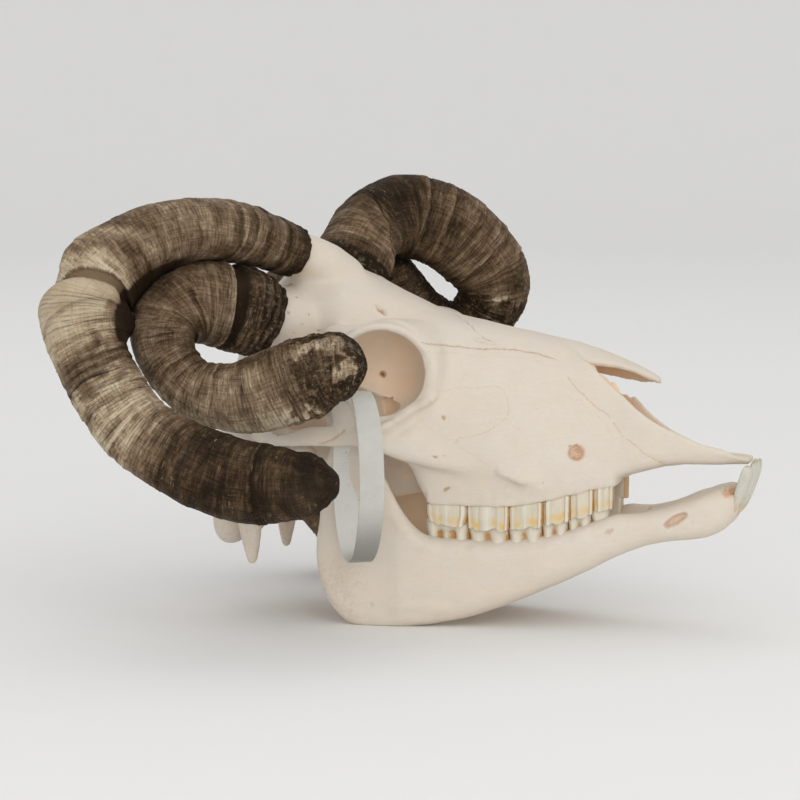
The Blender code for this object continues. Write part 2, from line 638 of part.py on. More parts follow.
def main():
    clear_scene()
    strap = tag_strap()
    skull = carve(cranium(), [swollen(strap, 2 * GAP)])
    pieces = [skull]
    for sheath in horns():
        carve(sheath, [swollen(skull, GAP), block("floor_cut", (-120, -150, FLOOR - 20), (60, 150, FLOOR))])
        pieces.append(largest_body(sheath))
    jaws = [largest_body(carve(jaw(side), [swollen(skull, GAP)])) for side in (RIGHT, LEFT)]
    bone = material("bone", (0.78, 0.70, 0.60), 0.55)
    horn_finish = material("horn", (0.16, 0.12, 0.09), 0.6)
    plastic = material("strap_plastic", (0.74, 0.75, 0.74), 0.35)
    for shape in [skull, *jaws]:
        shape.data.materials.append(bone)
    for sheath in pieces[1:]:
        sheath.data.materials.clear()
        sheath.data.materials.append(horn_finish)
    strap.data.materials.append(plastic)
    pieces += [*jaws, strap]
    stand(pieces)
    for shape in pieces:
        shape.data.shade_smooth()


if __name__ == "__main__":
    main()
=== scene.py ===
"""The skull of a ram with four horns, finished in full detail over its measured frame.

Run it with blender --background --python scene.py. Each piece has an operator of its own, which the
panel in the 3D view's sidebar lists, and main() calls them in turn. +X is the nose, +Y the animal's
left and +Z up. Shapes are written in millimetres about a point in the skull's middle plane, between
the cheek teeth and the eye, and at() places them in the frame.
"""
import math

import bmesh
import bpy
import numpy as np
from bpy.props import FloatProperty, FloatVectorProperty, IntProperty, PointerProperty
from mathutils import Matrix, Vector
from mathutils.bvhtree import BVHTree
from mathutils.kdtree import KDTree


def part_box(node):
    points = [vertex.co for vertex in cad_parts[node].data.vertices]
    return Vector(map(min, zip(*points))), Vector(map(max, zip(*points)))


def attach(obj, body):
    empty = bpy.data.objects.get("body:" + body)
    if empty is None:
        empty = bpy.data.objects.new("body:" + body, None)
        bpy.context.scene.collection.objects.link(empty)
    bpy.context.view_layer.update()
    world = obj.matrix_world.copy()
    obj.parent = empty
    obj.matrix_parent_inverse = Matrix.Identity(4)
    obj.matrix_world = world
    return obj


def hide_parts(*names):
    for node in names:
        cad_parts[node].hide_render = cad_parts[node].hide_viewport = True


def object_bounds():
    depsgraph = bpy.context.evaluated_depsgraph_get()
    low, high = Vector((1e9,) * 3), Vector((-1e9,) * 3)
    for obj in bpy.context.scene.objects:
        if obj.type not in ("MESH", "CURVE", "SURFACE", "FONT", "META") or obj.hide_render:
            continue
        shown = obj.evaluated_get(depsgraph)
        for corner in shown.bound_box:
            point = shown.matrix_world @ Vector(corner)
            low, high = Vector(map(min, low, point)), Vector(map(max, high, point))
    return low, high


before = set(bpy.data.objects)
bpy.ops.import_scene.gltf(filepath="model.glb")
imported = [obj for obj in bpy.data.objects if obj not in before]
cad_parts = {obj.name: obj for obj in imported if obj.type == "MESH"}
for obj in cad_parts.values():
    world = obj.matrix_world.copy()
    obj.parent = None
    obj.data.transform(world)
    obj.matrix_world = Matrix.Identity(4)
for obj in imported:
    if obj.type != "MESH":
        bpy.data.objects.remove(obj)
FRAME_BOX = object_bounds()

bl_info = {
    "name": "Four-horned ram skull",
    "version": (1, 0, 0),
    "blender": (4, 5, 0),
    "location": "3D View > Sidebar > Skull",
    "description": "Builds a ram's skull with four horns, its jaw, teeth and tag strap",
    "category": "Add Mesh",
}

MM = 0.001
RIGHT, LEFT = -1, 1
SIDE_NAMES = {RIGHT: "right", LEFT: "left"}

# The strap's loop is centred here in skull millimetres, which ties them to the frame's own place.
STRAP_MIDDLE = Vector((-1.0, -60.5, -26.5))
STRAP_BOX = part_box("tag_strap")
ORIGIN = (Vector(STRAP_BOX[0]) + Vector(STRAP_BOX[1])) / 2 - STRAP_MIDDLE * MM
ORIGIN_POINT = np.array(ORIGIN)
FLOOR = -ORIGIN.z / MM
FRAME_MARGIN = 2e-5     # metres that every finished point stays inside the frame's box

ORBIT = (4.5, 47.0, 16.5)
ORBIT_RADIUS = 18.7
ORBIT_DEPTH = 26.0
NASAL_TIP_X = 116.6
MUZZLE_TIP_X = 156.5
UPPER_TOOTH_X = (99.3, 91.3, 81.8, 70.6, 56.4, 38.4, 20.4)   # borders of P2, P3, P4, M1, M2, M3
LOWER_TOOTH_X = (97.6, 90.0, 80.4, 69.6, 55.4, 38.2, 19.6)
STRAP_HALF_HEIGHT, STRAP_HALF_DEPTH, STRAP_TURN = 36.0, 20.0, math.radians(32)
STRAP_WIDTH, STRAP_THICKNESS, STRAP_STEPS, STRAP_RIB = 10.8, 0.9, 640, 1.3
CRANIUM_TRIANGLES, JAW_TRIANGLES = 186000, 120000

# The photo's view: degrees from the skull's right side towards its nose and up, and millimetres.
CAMERA_AZIMUTH, CAMERA_ELEVATION, CAMERA_DISTANCE = 15, 6, 1400.0
HALF_VIEW = 176.0
VIEWER = np.array((360.4, 1344.9, 146.3))       # the camera's place, mirrored to the left side


# ---- sizes and colours --------------------------------------------------------------------------
def shade(name, about, colour):
    return FloatVectorProperty(name=name, description=about, default=colour, size=3,
                               subtype="COLOR", min=0.0, max=1.0)


class SkullBone(bpy.types.PropertyGroup):
    """Bone and teeth."""
    grain: FloatProperty(name="Bone grain", description="Edge length of the bone's skin",
                         default=0.00068, min=0.0004, max=0.003, precision=5, unit="LENGTH")
    seam_depth: FloatProperty(name="Suture depth", description="How far the sutures sink in",
                              default=0.00024, min=0.0, max=0.002, precision=5, unit="LENGTH")
    colour: shade("Bone", "Clean bleached bone", (0.705, 0.638, 0.553))
    # The warm colour tints pores and cracks, and is also laid as painted warm bounce light in recesses and on
    # sheltered faces.
    warm_bone_and_bounce: shade("Warm bone", "Thinner, oilier bone and recesses", (1.0, 0.71, 0.46))
    ochre: shade("Ochre stain", "Rust and tissue left in pits and sutures", (0.44, 0.22, 0.09))
    tooth: shade("Tooth", "Tooth enamel", (0.68, 0.62, 0.49))
    front_tooth: shade("Front tooth", "Bluish glassy enamel", (0.62, 0.60, 0.52))


class SkullHorn(bpy.types.PropertyGroup):
    """Horn sheaths."""
    sides: IntProperty(name="Sides", description="Facets around a horn", default=120, min=24, max=200)
    step: FloatProperty(name="Ring step", description="Distance between modelled rings",
                        default=0.00045, min=0.0003, max=0.003, precision=5, unit="LENGTH")
    growth: FloatProperty(name="Growth line spacing", description="Mean distance between growth lines",
                          default=0.0014, min=0.001, max=0.01, precision=5, unit="LENGTH")
    relief: FloatProperty(name="Growth line depth", description="Depth of the deeper growth lines",
                          default=0.00036, min=0.0, max=0.002, precision=5, unit="LENGTH")
    soot: shade("Soot", "Nearly black horn, at tips and in cracks", (0.017, 0.010, 0.005))
    dark: shade("Dark", "Blackish brown horn", (0.040, 0.024, 0.012))
    umber: shade("Umber", "Dark brown horn", (0.090, 0.056, 0.030))
    brown: shade("Brown", "Brown horn", (0.170, 0.113, 0.068))
    tan: shade("Tan", "Light brown horn", (0.272, 0.197, 0.128))
    cream: shade("Cream", "Dry pale horn", (0.470, 0.370, 0.245))
    bleached: shade("Bleached", "Palest horn, on a lip or a frayed edge", (0.60, 0.51, 0.38))
    scurf: shade("Scurf", "Dry pale flakes", (0.42, 0.34, 0.25))


class SkullStrap(bpy.types.PropertyGroup):
    """Tag strap."""
    colour: shade("Strap", "Pale grey plastic", (0.78, 0.78, 0.75))


class SkullStage(bpy.types.PropertyGroup):
    """Floor and backdrop."""
    colour: shade("Floor", "Plain pale floor", (0.90, 0.90, 0.895))
    radius: FloatProperty(name="Floor radius", description="Flat part of the floor",
                          default=3.0, min=2.2, max=6.0, unit="LENGTH")


# ---- handling objects ---------------------------------------------------------------------------
def at(x, y, z):
    """A point given in skull millimetres, in the frame."""
    return ORIGIN + Vector((x, y, z)) * MM


def choose(piece):
    bpy.ops.object.select_all(action="DESELECT")
    piece.select_set(True)
    bpy.context.view_layer.objects.active = piece
    return piece


def with_modifier(piece, kind, **settings):
    """The piece with one more modifier made real."""
    choose(piece)
    modifier = piece.modifiers.new(kind.lower(), kind)
    for setting, value in settings.items():
        setattr(modifier, setting, value)
    bpy.ops.object.modifier_apply(modifier=modifier.name)
    return piece


def united(name, pieces):
    """All pieces as one object; their overlaps are melted together later."""
    bpy.ops.object.select_all(action="DESELECT")
    for piece in pieces:
        piece.select_set(True)
    bpy.context.view_layer.objects.active = pieces[0]
    if len(pieces) > 1:
        bpy.ops.object.join()
    pieces[0].name = pieces[0].data.name = name
    return pieces[0]


def melted(piece, grain, passes):
    """One skin round everything that overlaps, softened."""
    with_modifier(piece, "REMESH", mode="VOXEL", voxel_size=grain * MM)
    if passes:
        with_modifier(piece, "SMOOTH", factor=0.5, iterations=passes)
    return piece


def softened(piece, share, passes):
    """Evens out part of a skin; share says how much of it, point by point."""
    points = points_of(piece)
    ends = np.empty(len(piece.data.edges) * 2, np.int64)
    piece.data.edges.foreach_get("vertices", ends)
    one, two = np.concatenate([ends[::2], ends[1::2]]), np.concatenate([ends[1::2], ends[::2]])
    count = np.bincount(one, minlength=len(points))[:, None]
    pull = 0.5 * share(points)[:, None]
    for _ in range(passes):
        mean = np.stack([np.bincount(one, points[two, axis], len(points)) for axis in range(3)], 1) / count
        points = points + pull * (mean - points)
    set_points(piece, points)
    return piece


def carved(piece, cutters):
    for cutter in cutters:
        with_modifier(piece, "BOOLEAN", operation="DIFFERENCE", solver="MANIFOLD", object=cutter)
        bpy.data.objects.remove(cutter)
    return piece


def under_budget(piece, triangles):
    """Thins the flat places until the piece has no more triangles than this."""
    have = sum(len(face.vertices) - 2 for face in piece.data.polygons)
    if have > triangles:
        with_modifier(piece, "DECIMATE", ratio=triangles / have, use_collapse_triangulate=True)
    return piece


def main_body(piece):
    """Drops crumbs that a cut leaves loose."""
    choose(piece)
    mesh = piece.data
    edges = np.empty(len(mesh.edges) * 2, np.int64)
    mesh.edges.foreach_get("vertices", edges)
    edges = edges.reshape(-1, 2)
    label = np.arange(len(mesh.vertices))
    while True:
        low = np.minimum(label[edges[:, 0]], label[edges[:, 1]])
        before = label.copy()
        np.minimum.at(label, edges[:, 0], low)
        np.minimum.at(label, edges[:, 1], low)
        label = label[label]
        if (label == before).all():
            break
    names, counts = np.unique(label, return_counts=True)
    if len(names) > 1:
        keep = names[counts.argmax()]
        shape = bmesh.new()
        shape.from_mesh(mesh)
        shape.verts.ensure_lookup_table()
        bmesh.ops.delete(shape, geom=[shape.verts[i] for i in np.nonzero(label != keep)[0]], context="VERTS")
        shape.to_mesh(mesh)
        shape.free()
    return piece


def points_of(piece):
    """The piece's points in skull millimetres."""
    points = np.empty(len(piece.data.vertices) * 3)
    piece.data.vertices.foreach_get("co", points)
    return (points.reshape(-1, 3) - ORIGIN_POINT) / MM


def set_points(piece, points):
    piece.data.vertices.foreach_set("co", (points * MM + ORIGIN_POINT).ravel())
    piece.data.update()


def normals_of(piece):
    normals = np.empty(len(piece.data.vertices) * 3)
    piece.data.vertex_normals.foreach_get("vector", normals)
    return normals.reshape(-1, 3)


def kept_inside(piece):
    """Holds every point within the frame's own box."""
    low, high = (np.array(corner) for corner in FRAME_BOX)
    points = points_of(piece) * MM + ORIGIN_POINT
    set_points(piece, (np.clip(points, low + FRAME_MARGIN, high - FRAME_MARGIN) - ORIGIN_POINT) / MM)
    return piece


def painted(piece, name, values):
    """Keeps one number, vector or colour for each point of the piece, for its material."""
    kind = {1: "FLOAT", 3: "FLOAT_VECTOR", 4: "FLOAT_COLOR"}[1 if values.ndim == 1 else values.shape[1]]
    layer = piece.data.attributes.new(name, kind, "POINT")
    layer.data.foreach_set({"FLOAT": "value", "FLOAT_VECTOR": "vector", "FLOAT_COLOR": "color"}[kind],
                           np.ascontiguousarray(values, dtype=np.float32).ravel())


def finish_piece(piece, material, slot, *nodes):
    """Smooth, dressed, riding on the frame and standing for its nodes."""
    kept_inside(piece)
    choose(piece)
    bpy.ops.object.shade_smooth()
    piece.data.materials.clear()
    piece.data.materials.append(material)
    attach(piece, "root")
    if nodes:
        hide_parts(*nodes)
    return piece


# ---- shaping tools ------------------------------------------------------------------------------
def skin_of(name, grid, wrap=False):
    """A skin of quads over rows of points in skull millimetres; each row closes on itself."""
    grid = np.asarray(grid, float)
    rows, count = grid.shape[:2]
    points = grid.reshape(-1, 3)
    index = np.arange(rows * count).reshape(rows, count)
    top = index if wrap else index[:-1]
    bottom = np.roll(index, -1, axis=0) if wrap else index[1:]
    faces = np.stack([top, np.roll(top, -1, axis=1), np.roll(bottom, -1, axis=1), bottom], -1)
    faces = faces.reshape(-1, 4).tolist()
    if not wrap:
        points = np.vstack([points, grid[0].mean(0), grid[-1].mean(0)])
        first, last = rows * count, rows * count + 1
        faces += [[index[0][(i + 1) % count], index[0][i], first] for i in range(count)]
        faces += [[index[-1][i], index[-1][(i + 1) % count], last] for i in range(count)]
    mesh = bpy.data.meshes.new(name)
    mesh.from_pydata((points * MM + ORIGIN_POINT).tolist(), [], faces)
    shape = bmesh.new()
    shape.from_mesh(mesh)
    bmesh.ops.recalc_face_normals(shape, faces=shape.faces)
    shape.to_mesh(mesh)
    shape.free()
    piece = bpy.data.objects.new(name, mesh)
    bpy.context.scene.collection.objects.link(piece)
    return piece


def round_box(turn, squareness):
    """The unit superellipse: squareness 2 is a circle, and more is boxier."""
    c, s = np.cos(turn), np.sin(turn)
    power = 2.0 / squareness
    return np.copysign(np.abs(c) ** power, c), np.copysign(np.abs(s) ** power, s)


def smooth_rows(rows, count):
    """Rows of numbers, the first three a place, run through a Catmull-Rom curve at even steps."""
    rows = np.array(rows, float)
    ends = np.vstack([2 * rows[0] - rows[1], rows, 2 * rows[-1] - rows[-2]])
    fine = []
    for k in range(len(rows) - 1):
        p0, p1, p2, p3 = ends[k:k + 4]
        for t in np.linspace(0, 1, 24, endpoint=False):
            fine.append(0.5 * (2 * p1 + (p2 - p0) * t + (2 * p0 - 5 * p1 + 4 * p2 - p3) * t**2
                               + (3 * p1 - p0 - 3 * p2 + p3) * t**3))
    fine = np.array(fine + [rows[-1]])
    run = np.concatenate([[0], np.cumsum(np.linalg.norm(np.diff(fine[:, :3], axis=0), axis=1))])
    steps = np.linspace(0, run[-1], count)
    return np.array([np.interp(steps, run, column) for column in fine.T]).T, steps


def profile(points, count):
    """A smooth line through (y, z) points, at even steps."""
    return smooth_rows([(0, *point) for point in points], count)[0][:, 1:]


def unit(vectors):
    return vectors / np.linalg.norm(vectors, axis=-1, keepdims=True)


def loft(name, sections, sides=72, rows=0):
    """A body along X. A section is (x, low, high, half width low, half width high, squareness)."""
    table = np.array(sections, float)
    if rows:
        steps = np.linspace(table[0, 0], table[-1, 0], rows)
        table = np.array([steps] + [np.interp(steps, table[:, 0], column) for column in table.T[1:]]).T
    turn = np.linspace(0, 2 * np.pi, sides, endpoint=False)
    grid = []
    for x, low, high, wide_low, wide_high, squareness in table:
        across, up = round_box(turn, squareness)
        half = (wide_low + wide_high) / 2 + up * (wide_high - wide_low) / 2
        grid.append(np.stack([np.full(sides, x), across * half,
                              (low + high) / 2 + up * (high - low) / 2], -1))
    return skin_of(name, grid)


def shell(name, sections, soften=9):
    """A body along X from half profiles. A section is (x, (y, z), ...), from the top down the left side."""
    count, step = 64, 0.8
    places = np.array([section[0] for section in sections], float)
    halves = np.array([profile(section[1:], count) for section in sections])
    steps = np.arange(places[0], places[-1] + step, step)
    ends = np.ones(soften) / soften
    grid = np.empty((len(steps), count, 3))
    grid[..., 0] = steps[:, None]
    for k in range(count):
        for axis in (0, 1):
            column = np.interp(steps, places, halves[:, k, axis])
            column = np.pad(column, soften, mode="reflect", reflect_type="odd")
            column = np.convolve(np.convolve(column, ends, "same"), ends, "same")
            grid[:, k, 1 + axis] = column[soften:-soften]
    other = grid[:, ::-1] * (1, -1, 1)
    trim = slice(0 if abs(halves[0, -1, 0]) > 0.01 else 1, -1 if abs(halves[0, 0, 0]) < 0.01 else None)
    return skin_of(name, np.concatenate([grid, other[:, trim]], axis=1))


def tube_grid(path, facing, sides, squareness):
    """Rings round a path of (x, y, z, half width, half depth), with their centres and turns."""
    along = unit(np.gradient(path[:, :3], axis=0))
    deep = np.broadcast_to(np.array(facing, float), along.shape)
    deep = unit(deep - along * (along * deep).sum(1, keepdims=True))
    wide = np.cross(along, deep)
    turn = np.linspace(0, 2 * np.pi, sides, endpoint=False)
    across, up = round_box(turn, squareness)
    arms = (wide[:, None] * (across[None, :, None] * path[:, None, 3:4])
            + deep[:, None] * (up[None, :, None] * path[:, None, 4:5]))
    return arms, turn


def tube(name, rows, facing=(0, 1, 0), sides=40, count=40):
    """A tube along rows of (x, y, z, half width, half depth). Depth is measured towards facing."""
    path, _ = smooth_rows(rows, count)
    arms, _ = tube_grid(path, facing, sides, 2.0)
    return skin_of(name, path[:, None, :3] + arms)


def lump(name, centre, radii, turn=(0, 0, 0)):
    """An ellipsoid, turned about X, Y and Z by degrees."""
    bpy.ops.object.select_all(action="DESELECT")
    bpy.ops.mesh.primitive_ico_sphere_add(subdivisions=5, radius=1.0)
    piece = bpy.context.object
    spin = Matrix.Rotation(math.radians(turn[2]), 4, "Z") @ Matrix.Rotation(math.radians(turn[1]), 4, "Y")
    spin = spin @ Matrix.Rotation(math.radians(turn[0]), 4, "X")
    piece.data.transform(Matrix.Translation(at(*centre)) @ spin @ Matrix.Diagonal((*(Vector(radii) * MM), 1)))
    piece.name = piece.data.name = name
    return piece


def mirrored(piece):
    """The same shape on the other side of the skull."""
    twin = bpy.data.objects.new(piece.name + "_twin", piece.data.copy())
    bpy.context.scene.collection.objects.link(twin)
    twin.data.transform(Matrix.Translation((0, 2 * ORIGIN.y, 0)) @ Matrix.Scale(-1, 4, (0, 1, 0)))
    twin.data.flip_normals()
    return twin


def both(pieces):
    return pieces + [mirrored(piece) for piece in pieces]


# ---- carving tools ------------------------------------------------------------------------------
def lattice(seed):
    return np.random.RandomState(seed).rand(32, 32, 32)


def noise(points, size, seed=1):
    """Smooth noise from -1 to 1, with bumps about this many mm across."""
    table = lattice(seed)
    place = np.asarray(points) / size + seed * 7.13
    cell = np.floor(place).astype(int)
    part = place - cell
    part = part * part * (3 - 2 * part)
    total = 0.0
    for corner in range(8):
        step = np.array([corner & 1, corner >> 1 & 1, corner >> 2 & 1])
        weight = np.prod(np.where(step, part, 1 - part), axis=-1)
        spot = (cell + step) & 31
        total = total + weight * table[spot[..., 0], spot[..., 1], spot[..., 2]]
    return total * 2 - 1


def rise(low, high, value):
    """0 below low, 1 above high, smooth between; low may be the larger."""
    share = np.clip((value - low) / (high - low), 0, 1)
    return share * share * (3 - 2 * share)


def bump(value, middle, width):
    """1 at the middle, falling off smoothly to both sides."""
    return np.exp(-((value - middle) / width) ** 2)


def deepen(layer, amount, near=slice(None)):
    """Raises a painted layer to the amount where it is lower."""
    layer[near] = np.maximum(layer[near], amount)


class Carver:
    """Moves a piece's points with brushes, paints what they leave behind, and paints warm bounce light into
    its sheltered places.
    """

    def __init__(self, piece):
        self.piece = piece
        self.points = points_of(piece)
        self.normals = normals_of(piece)
        faces = [tuple(face.vertices) for face in piece.data.polygons]
        self.tree = BVHTree.FromPolygons(self.points.tolist(), faces)
        count = len(self.points)
        self.seam = np.full(count, 9.0)
        self.seam_strength = np.zeros(count)
        self.ochre = np.zeros(count)
        self.marrow = np.zeros(count)
        # faces to paint with warm bounce light, however open they are
        self.painted_bounce = np.zeros(count)
        self.flip = np.ones(3)      # turns places given for one side to the other

    def on_skin(self, spot):
        """Where a look past the spot meets the skin, or else the nearest place, and which way it faces."""
        side = LEFT if spot[1] > 0 else RIGHT
        way = unit(np.array(spot, float) - VIEWER * (1, side, 1))
        if abs(spot[1]) > 2:
            place, facing, _, _ = self.tree.ray_cast(Vector(np.array(spot) - way * 60), Vector(way), 75)
            if place is not None:
                return np.array(place), np.array(facing)
        place, facing, _, _ = self.tree.find_nearest(Vector(spot))
        return np.array(place), np.array(facing)

    def around(self, spot, reach, facing=None):
        """The points within reach of a spot that face about the same way, and how far they are."""
        near = np.nonzero((np.abs(self.points - spot) < reach).all(1))[0]
        far = np.linalg.norm(self.points[near] - spot, axis=1)
        keep = far < reach
        if facing is not None:
            keep &= self.normals[near] @ facing > 0.1
        return near[keep], far[keep]

    def swell(self, spot, reach, height):
        """A soft hump, or a hollow where the height is below 0."""
        place, facing = self.on_skin(spot * self.flip)
        near, far = self.around(place, reach, facing)
        self.points[near] += facing * (height * rise(1, 0, far / reach))[:, None]

    def pit(self, spot, radius, depth, stain=0.8):
        """A round hole with a soft lip; a vessel or a nerve comes out of it."""
        place, out = self.on_skin(spot * self.flip)
        near, far = self.around(place, radius * 2.2, out)
        self.points[near] -= out * (depth * rise(1.15, 0.55, far / radius))[:, None]
        # ochre round the hole is stain; past 1, at the middle of a strongly stained hole, it becomes painted
        # shade of the hole
        deepen(self.ochre, stain * (rise(1.7, 0.8, far / radius) + 0.5 * rise(0.9, 0.4, far / radius)), near)

    def trough(self, spots, radius, depth, stain=0.8, marrow=0.0):
        """A long hole, as if a round one had been drawn along the spots."""
        line, facing = self.line(spots)
        near, far, _, share = self.along(line, facing, radius * 2.4)
        far = far / (1.1 - 0.45 * (2 * share - 1) ** 2)     # it narrows to its ends
        self.points[near] -= facing.mean(0) * (depth * rise(1.15, 0.75, far / radius))[:, None]
        deepen(self.ochre, stain * rise(1.8, 0.8, far / radius), near)
        deepen(self.marrow, marrow * rise(1.4, 0.8, far / radius), near)

    def line(self, spots, wander=0.0, seed=3):
        """A line on the skin through the spots, a point every half millimetre or so."""
        spots = spots * self.flip
        length = np.linalg.norm(np.diff(spots, axis=0), axis=1).sum()
        path, run = smooth_rows(spots, max(6, int(length / 0.7)))
        if wander:
            side = np.stack([noise(np.stack([run, run * 0 + k, run * 0], -1), 3.1, seed + k)
                             + 0.6 * noise(np.stack([run, run * 0 + k, run * 0], -1), 1.3, seed + k + 5)
                             for k in range(3)], -1)
            path = path[:, :3] + side * wander
        snapped = [self.on_skin(point[:3]) for point in path]
        return np.array([s[0] for s in snapped]), unit(np.array([s[1] for s in snapped]))

    def along(self, line, facing, reach):
        """Points near a line on the skin: index, distance, signed distance and share along it."""
        low, high = line.min(0) - reach, line.max(0) + reach
        near = np.nonzero(((self.points > low) & (self.points < high)).all(1))[0]
        best = np.full(len(near), 1e9)
        signed, share, out = best.copy(), np.zeros(len(near)), np.zeros((len(near), 3))
        for k in range(len(line) - 1):
            leg = line[k + 1] - line[k]
            length = float(leg @ leg)
            if length < 1e-9:
                continue
            offset = self.points[near] - line[k]
            t = np.clip(offset @ leg / length, 0, 1)
            gap = offset - t[:, None] * leg
            far = np.linalg.norm(gap, axis=1)
            closer = far < best
            best[closer] = far[closer]
            side = np.sign(gap @ np.cross(facing[k], leg))
            signed[closer] = (far * np.where(side == 0, 1, side))[closer]
            share[closer] = ((k + t) / (len(line) - 1))[closer]
            out[closer] = facing[k]
        keep = (best < reach) & ((self.normals[near] * out).sum(1) > 0.1)
        return near[keep], best[keep], signed[keep], share[keep]

    def suture(self, spots, depth=0.3, strength=1.0, wander=0.35, stain=0.0, seed=3):
        """A joint between two bones: a fine wandering groove."""
        line, facing = self.line(spots, wander, seed)
        near, far, signed, share = self.along(line, facing, 4.0)
        ends = rise(0, 0.06, share) * rise(1, 0.94, share)
        self.points[near] -= self.normals[near] * (depth * ends * bump(far, 0, 0.75))[:, None]
        closer = np.abs(signed) < np.abs(self.seam[near])
        near, signed, ends = near[closer], signed[closer], ends[closer]
        self.seam[near] = signed
        self.seam_strength[near] = ends * strength
        deepen(self.ochre, stain * ends * bump(signed, 0, 1.4), near)

    def ridge(self, spots, radius, height):
        line, facing = self.line(spots)
        near, far, _, share = self.along(line, facing, radius)
        ends = rise(0, 0.2, share) * rise(1, 0.8, share)
        self.points[near] += self.normals[near] * (height * ends * rise(1, 0, far / radius))[:, None]

    def openness(self, samples=11000, rays=22, reach=60.0):
        """How much of its sky each point sees: 1 in the open, 0 deep inside."""
        faces = [tuple(face.vertices) for face in self.piece.data.polygons]
        tree = BVHTree.FromPolygons(self.points.tolist(), faces)
        rng = np.random.RandomState(5)
        chosen = rng.choice(len(self.points), min(samples, len(self.points)), replace=False)
        fan = unit(rng.normal(size=(rays, 3)))
        seen = np.zeros(len(chosen))
        for k, i in enumerate(chosen):
            facing = self.normals[i]
            start = Vector(self.points[i] + facing * 0.8)
            total = 0.0
            for ray in fan:
                up = float(ray @ facing)
                way = Vector(ray if up > 0 else -ray)
                total += abs(up)
                if tree.ray_cast(start, way, reach)[0] is None:
                    seen[k] += abs(up)
            seen[k] /= total
        nearby = KDTree(len(chosen))
        for k, i in enumerate(chosen):
            nearby.insert(self.points[i], k)
        nearby.balance()
        close = [nearby.find_n(point, 14) for point in self.points]
        who = np.array([[c[1] for c in near] for near in close])
        far = np.array([[c[2] for c in near] for near in close])
        same = np.clip((self.normals[chosen][who] * self.normals[:, None]).sum(-1), 0.0, 1) ** 2 + 0.003
        weights = same / (far + 0.4)
        return (weights * seen[who]).sum(1) / weights.sum(1)

    def done(self):
        set_points(self.piece, self.points)
        for name in ("seam", "seam_strength", "ochre", "marrow"):
            painted(self.piece, name, getattr(self, name))
        # the recess paint sets the painted warm bounce light: more where a point sees less sky, and on the
        # sheltered faces
        painted(self.piece, "recess", np.maximum(1 - self.openness(), self.painted_bounce))
        return self.piece


# ---- the cranium --------------------------------------------------------------------------------
def face_and_roof():
    """The long wedge of the face, the broad forehead above the eyes, and the braincase behind."""
    core = loft("core", [
        # x, low, high, half width low, half width high, squareness
        (-30, -22, 46, 22, 26, 2.3), (-12, -26, 46, 22, 34, 2.5), (8, -28, 42, 26, 32, 2.7),
        (24, -30, 37, 26, 24, 2.8)], rows=60)
    face = shell("face", [
        (-2, (0, 44.5), (18, 43.4), (31, 40), (41, 31.5), (47.5, 19), (50, 6), (51, -5), (50, -11), (46, -15),
         (30, -17)),
        (12, (0, 41.5), (17, 40.4), (29.5, 36.4), (38.5, 28.5), (44.6, 17), (47.4, 5), (48.4, -6),
         (47.4, -13.5), (42, -19.5), (28, -23)),
        (16.5, (0, 40.4), (16, 39.2), (28, 35), (37, 27.2), (43.2, 16), (46, 4), (46.8, -7), (45.2, -15.5),
         (38.5, -23.5), (31, -35)),
        (21, (0, 39.2), (15.4, 38), (26.5, 33.8), (35.3, 26), (41.4, 15), (44.3, 3), (44.8, -8),
         (42.8, -17.5), (37.4, -26), (33.2, -42.6)),
        (27, (0, 37.9), (14, 36.7), (24.2, 32.8), (32.4, 25.6), (38.4, 14.6), (41.6, 2.6), (42, -9),
         (40.4, -19), (36.2, -27), (33.0, -41.4)),
        (40, (0, 35.4), (12, 34.3), (20.6, 31), (28.2, 24.4), (34, 13.8), (37, 1.8), (38.3, -10), (38.2, -21),
         (35.4, -29), (33.6, -41.6)),
        (52, (0, 33), (10.6, 32.1), (18, 29.2), (25, 22.6), (30.6, 12.4), (34, 0.8), (35.8, -11), (36.4, -23),
         (34.6, -31), (32.8, -41.5)),
        (64, (0, 30.7), (9.6, 29.9), (16.4, 27.2), (22.4, 20.8), (27.2, 11.2), (30.4, 0), (32.6, -12),
         (34, -24.5), (33, -32), (31.2, -40.6)),
        (76, (0, 28.2), (9, 27.5), (15.2, 25), (20, 19), (23.8, 10.4), (26.6, 0), (28.6, -11), (30.2, -22.5),
         (29.8, -31), (28.4, -38.2)),
        (86, (0, 24), (8.6, 23), (14, 21), (18.6, 17), (21.4, 9.6), (23.4, 0), (24.8, -10), (26, -20.5),
         (25.9, -29), (24.8, -35.8)),
        (94, (0, 16), (8, 15.6), (14, 14.8), (18.4, 12.6), (20, 6.8), (21, -1), (21.6, -9.6), (22.2, -19),
         (22, -27), (21.2, -33.8)),
        (100, (0, 8), (8, 7.8), (14, 7.4), (18.2, 6.2), (19.2, 1.5), (19.8, -5), (20, -12), (20, -19.5),
         (19.6, -26), (18.6, -32.2))])
    forehead = loft("forehead", [
        (-58, 26, 47, 24, 15, 2.2),
        (-48, 24, 58, 33, 22, 2.3),
        (-36, 24, 64.5, 39, 27, 2.3),
        (-18, 22, 57.5, 45, 29, 2.3),
        (0, 20, 48.5, 48, 26, 2.3),
        (15, 18, 41.4, 43, 24, 2.3),
        (32, 16, 36.6, 33, 19, 2.4)], rows=60)
    braincase = lump("braincase", (-41, 0, 10), (33, 34, 42), (0, 14, 0))
    nape = lump("nape", (-65, 0, -18), (15, 33, 28), (0, 4, 0))
    base = loft("base", [
        (-74, -54, -30, 13, 15, 2.4),
        (-60, -50, -24, 13, 20, 2.4),
        (-40, -42, -16, 11, 20, 2.4),
        (-14, -36, -14, 9, 16, 2.4),
        (14, -36, -10, 12, 18, 2.4)], rows=50)
    return [core, face, forehead, braincase, nape, base]


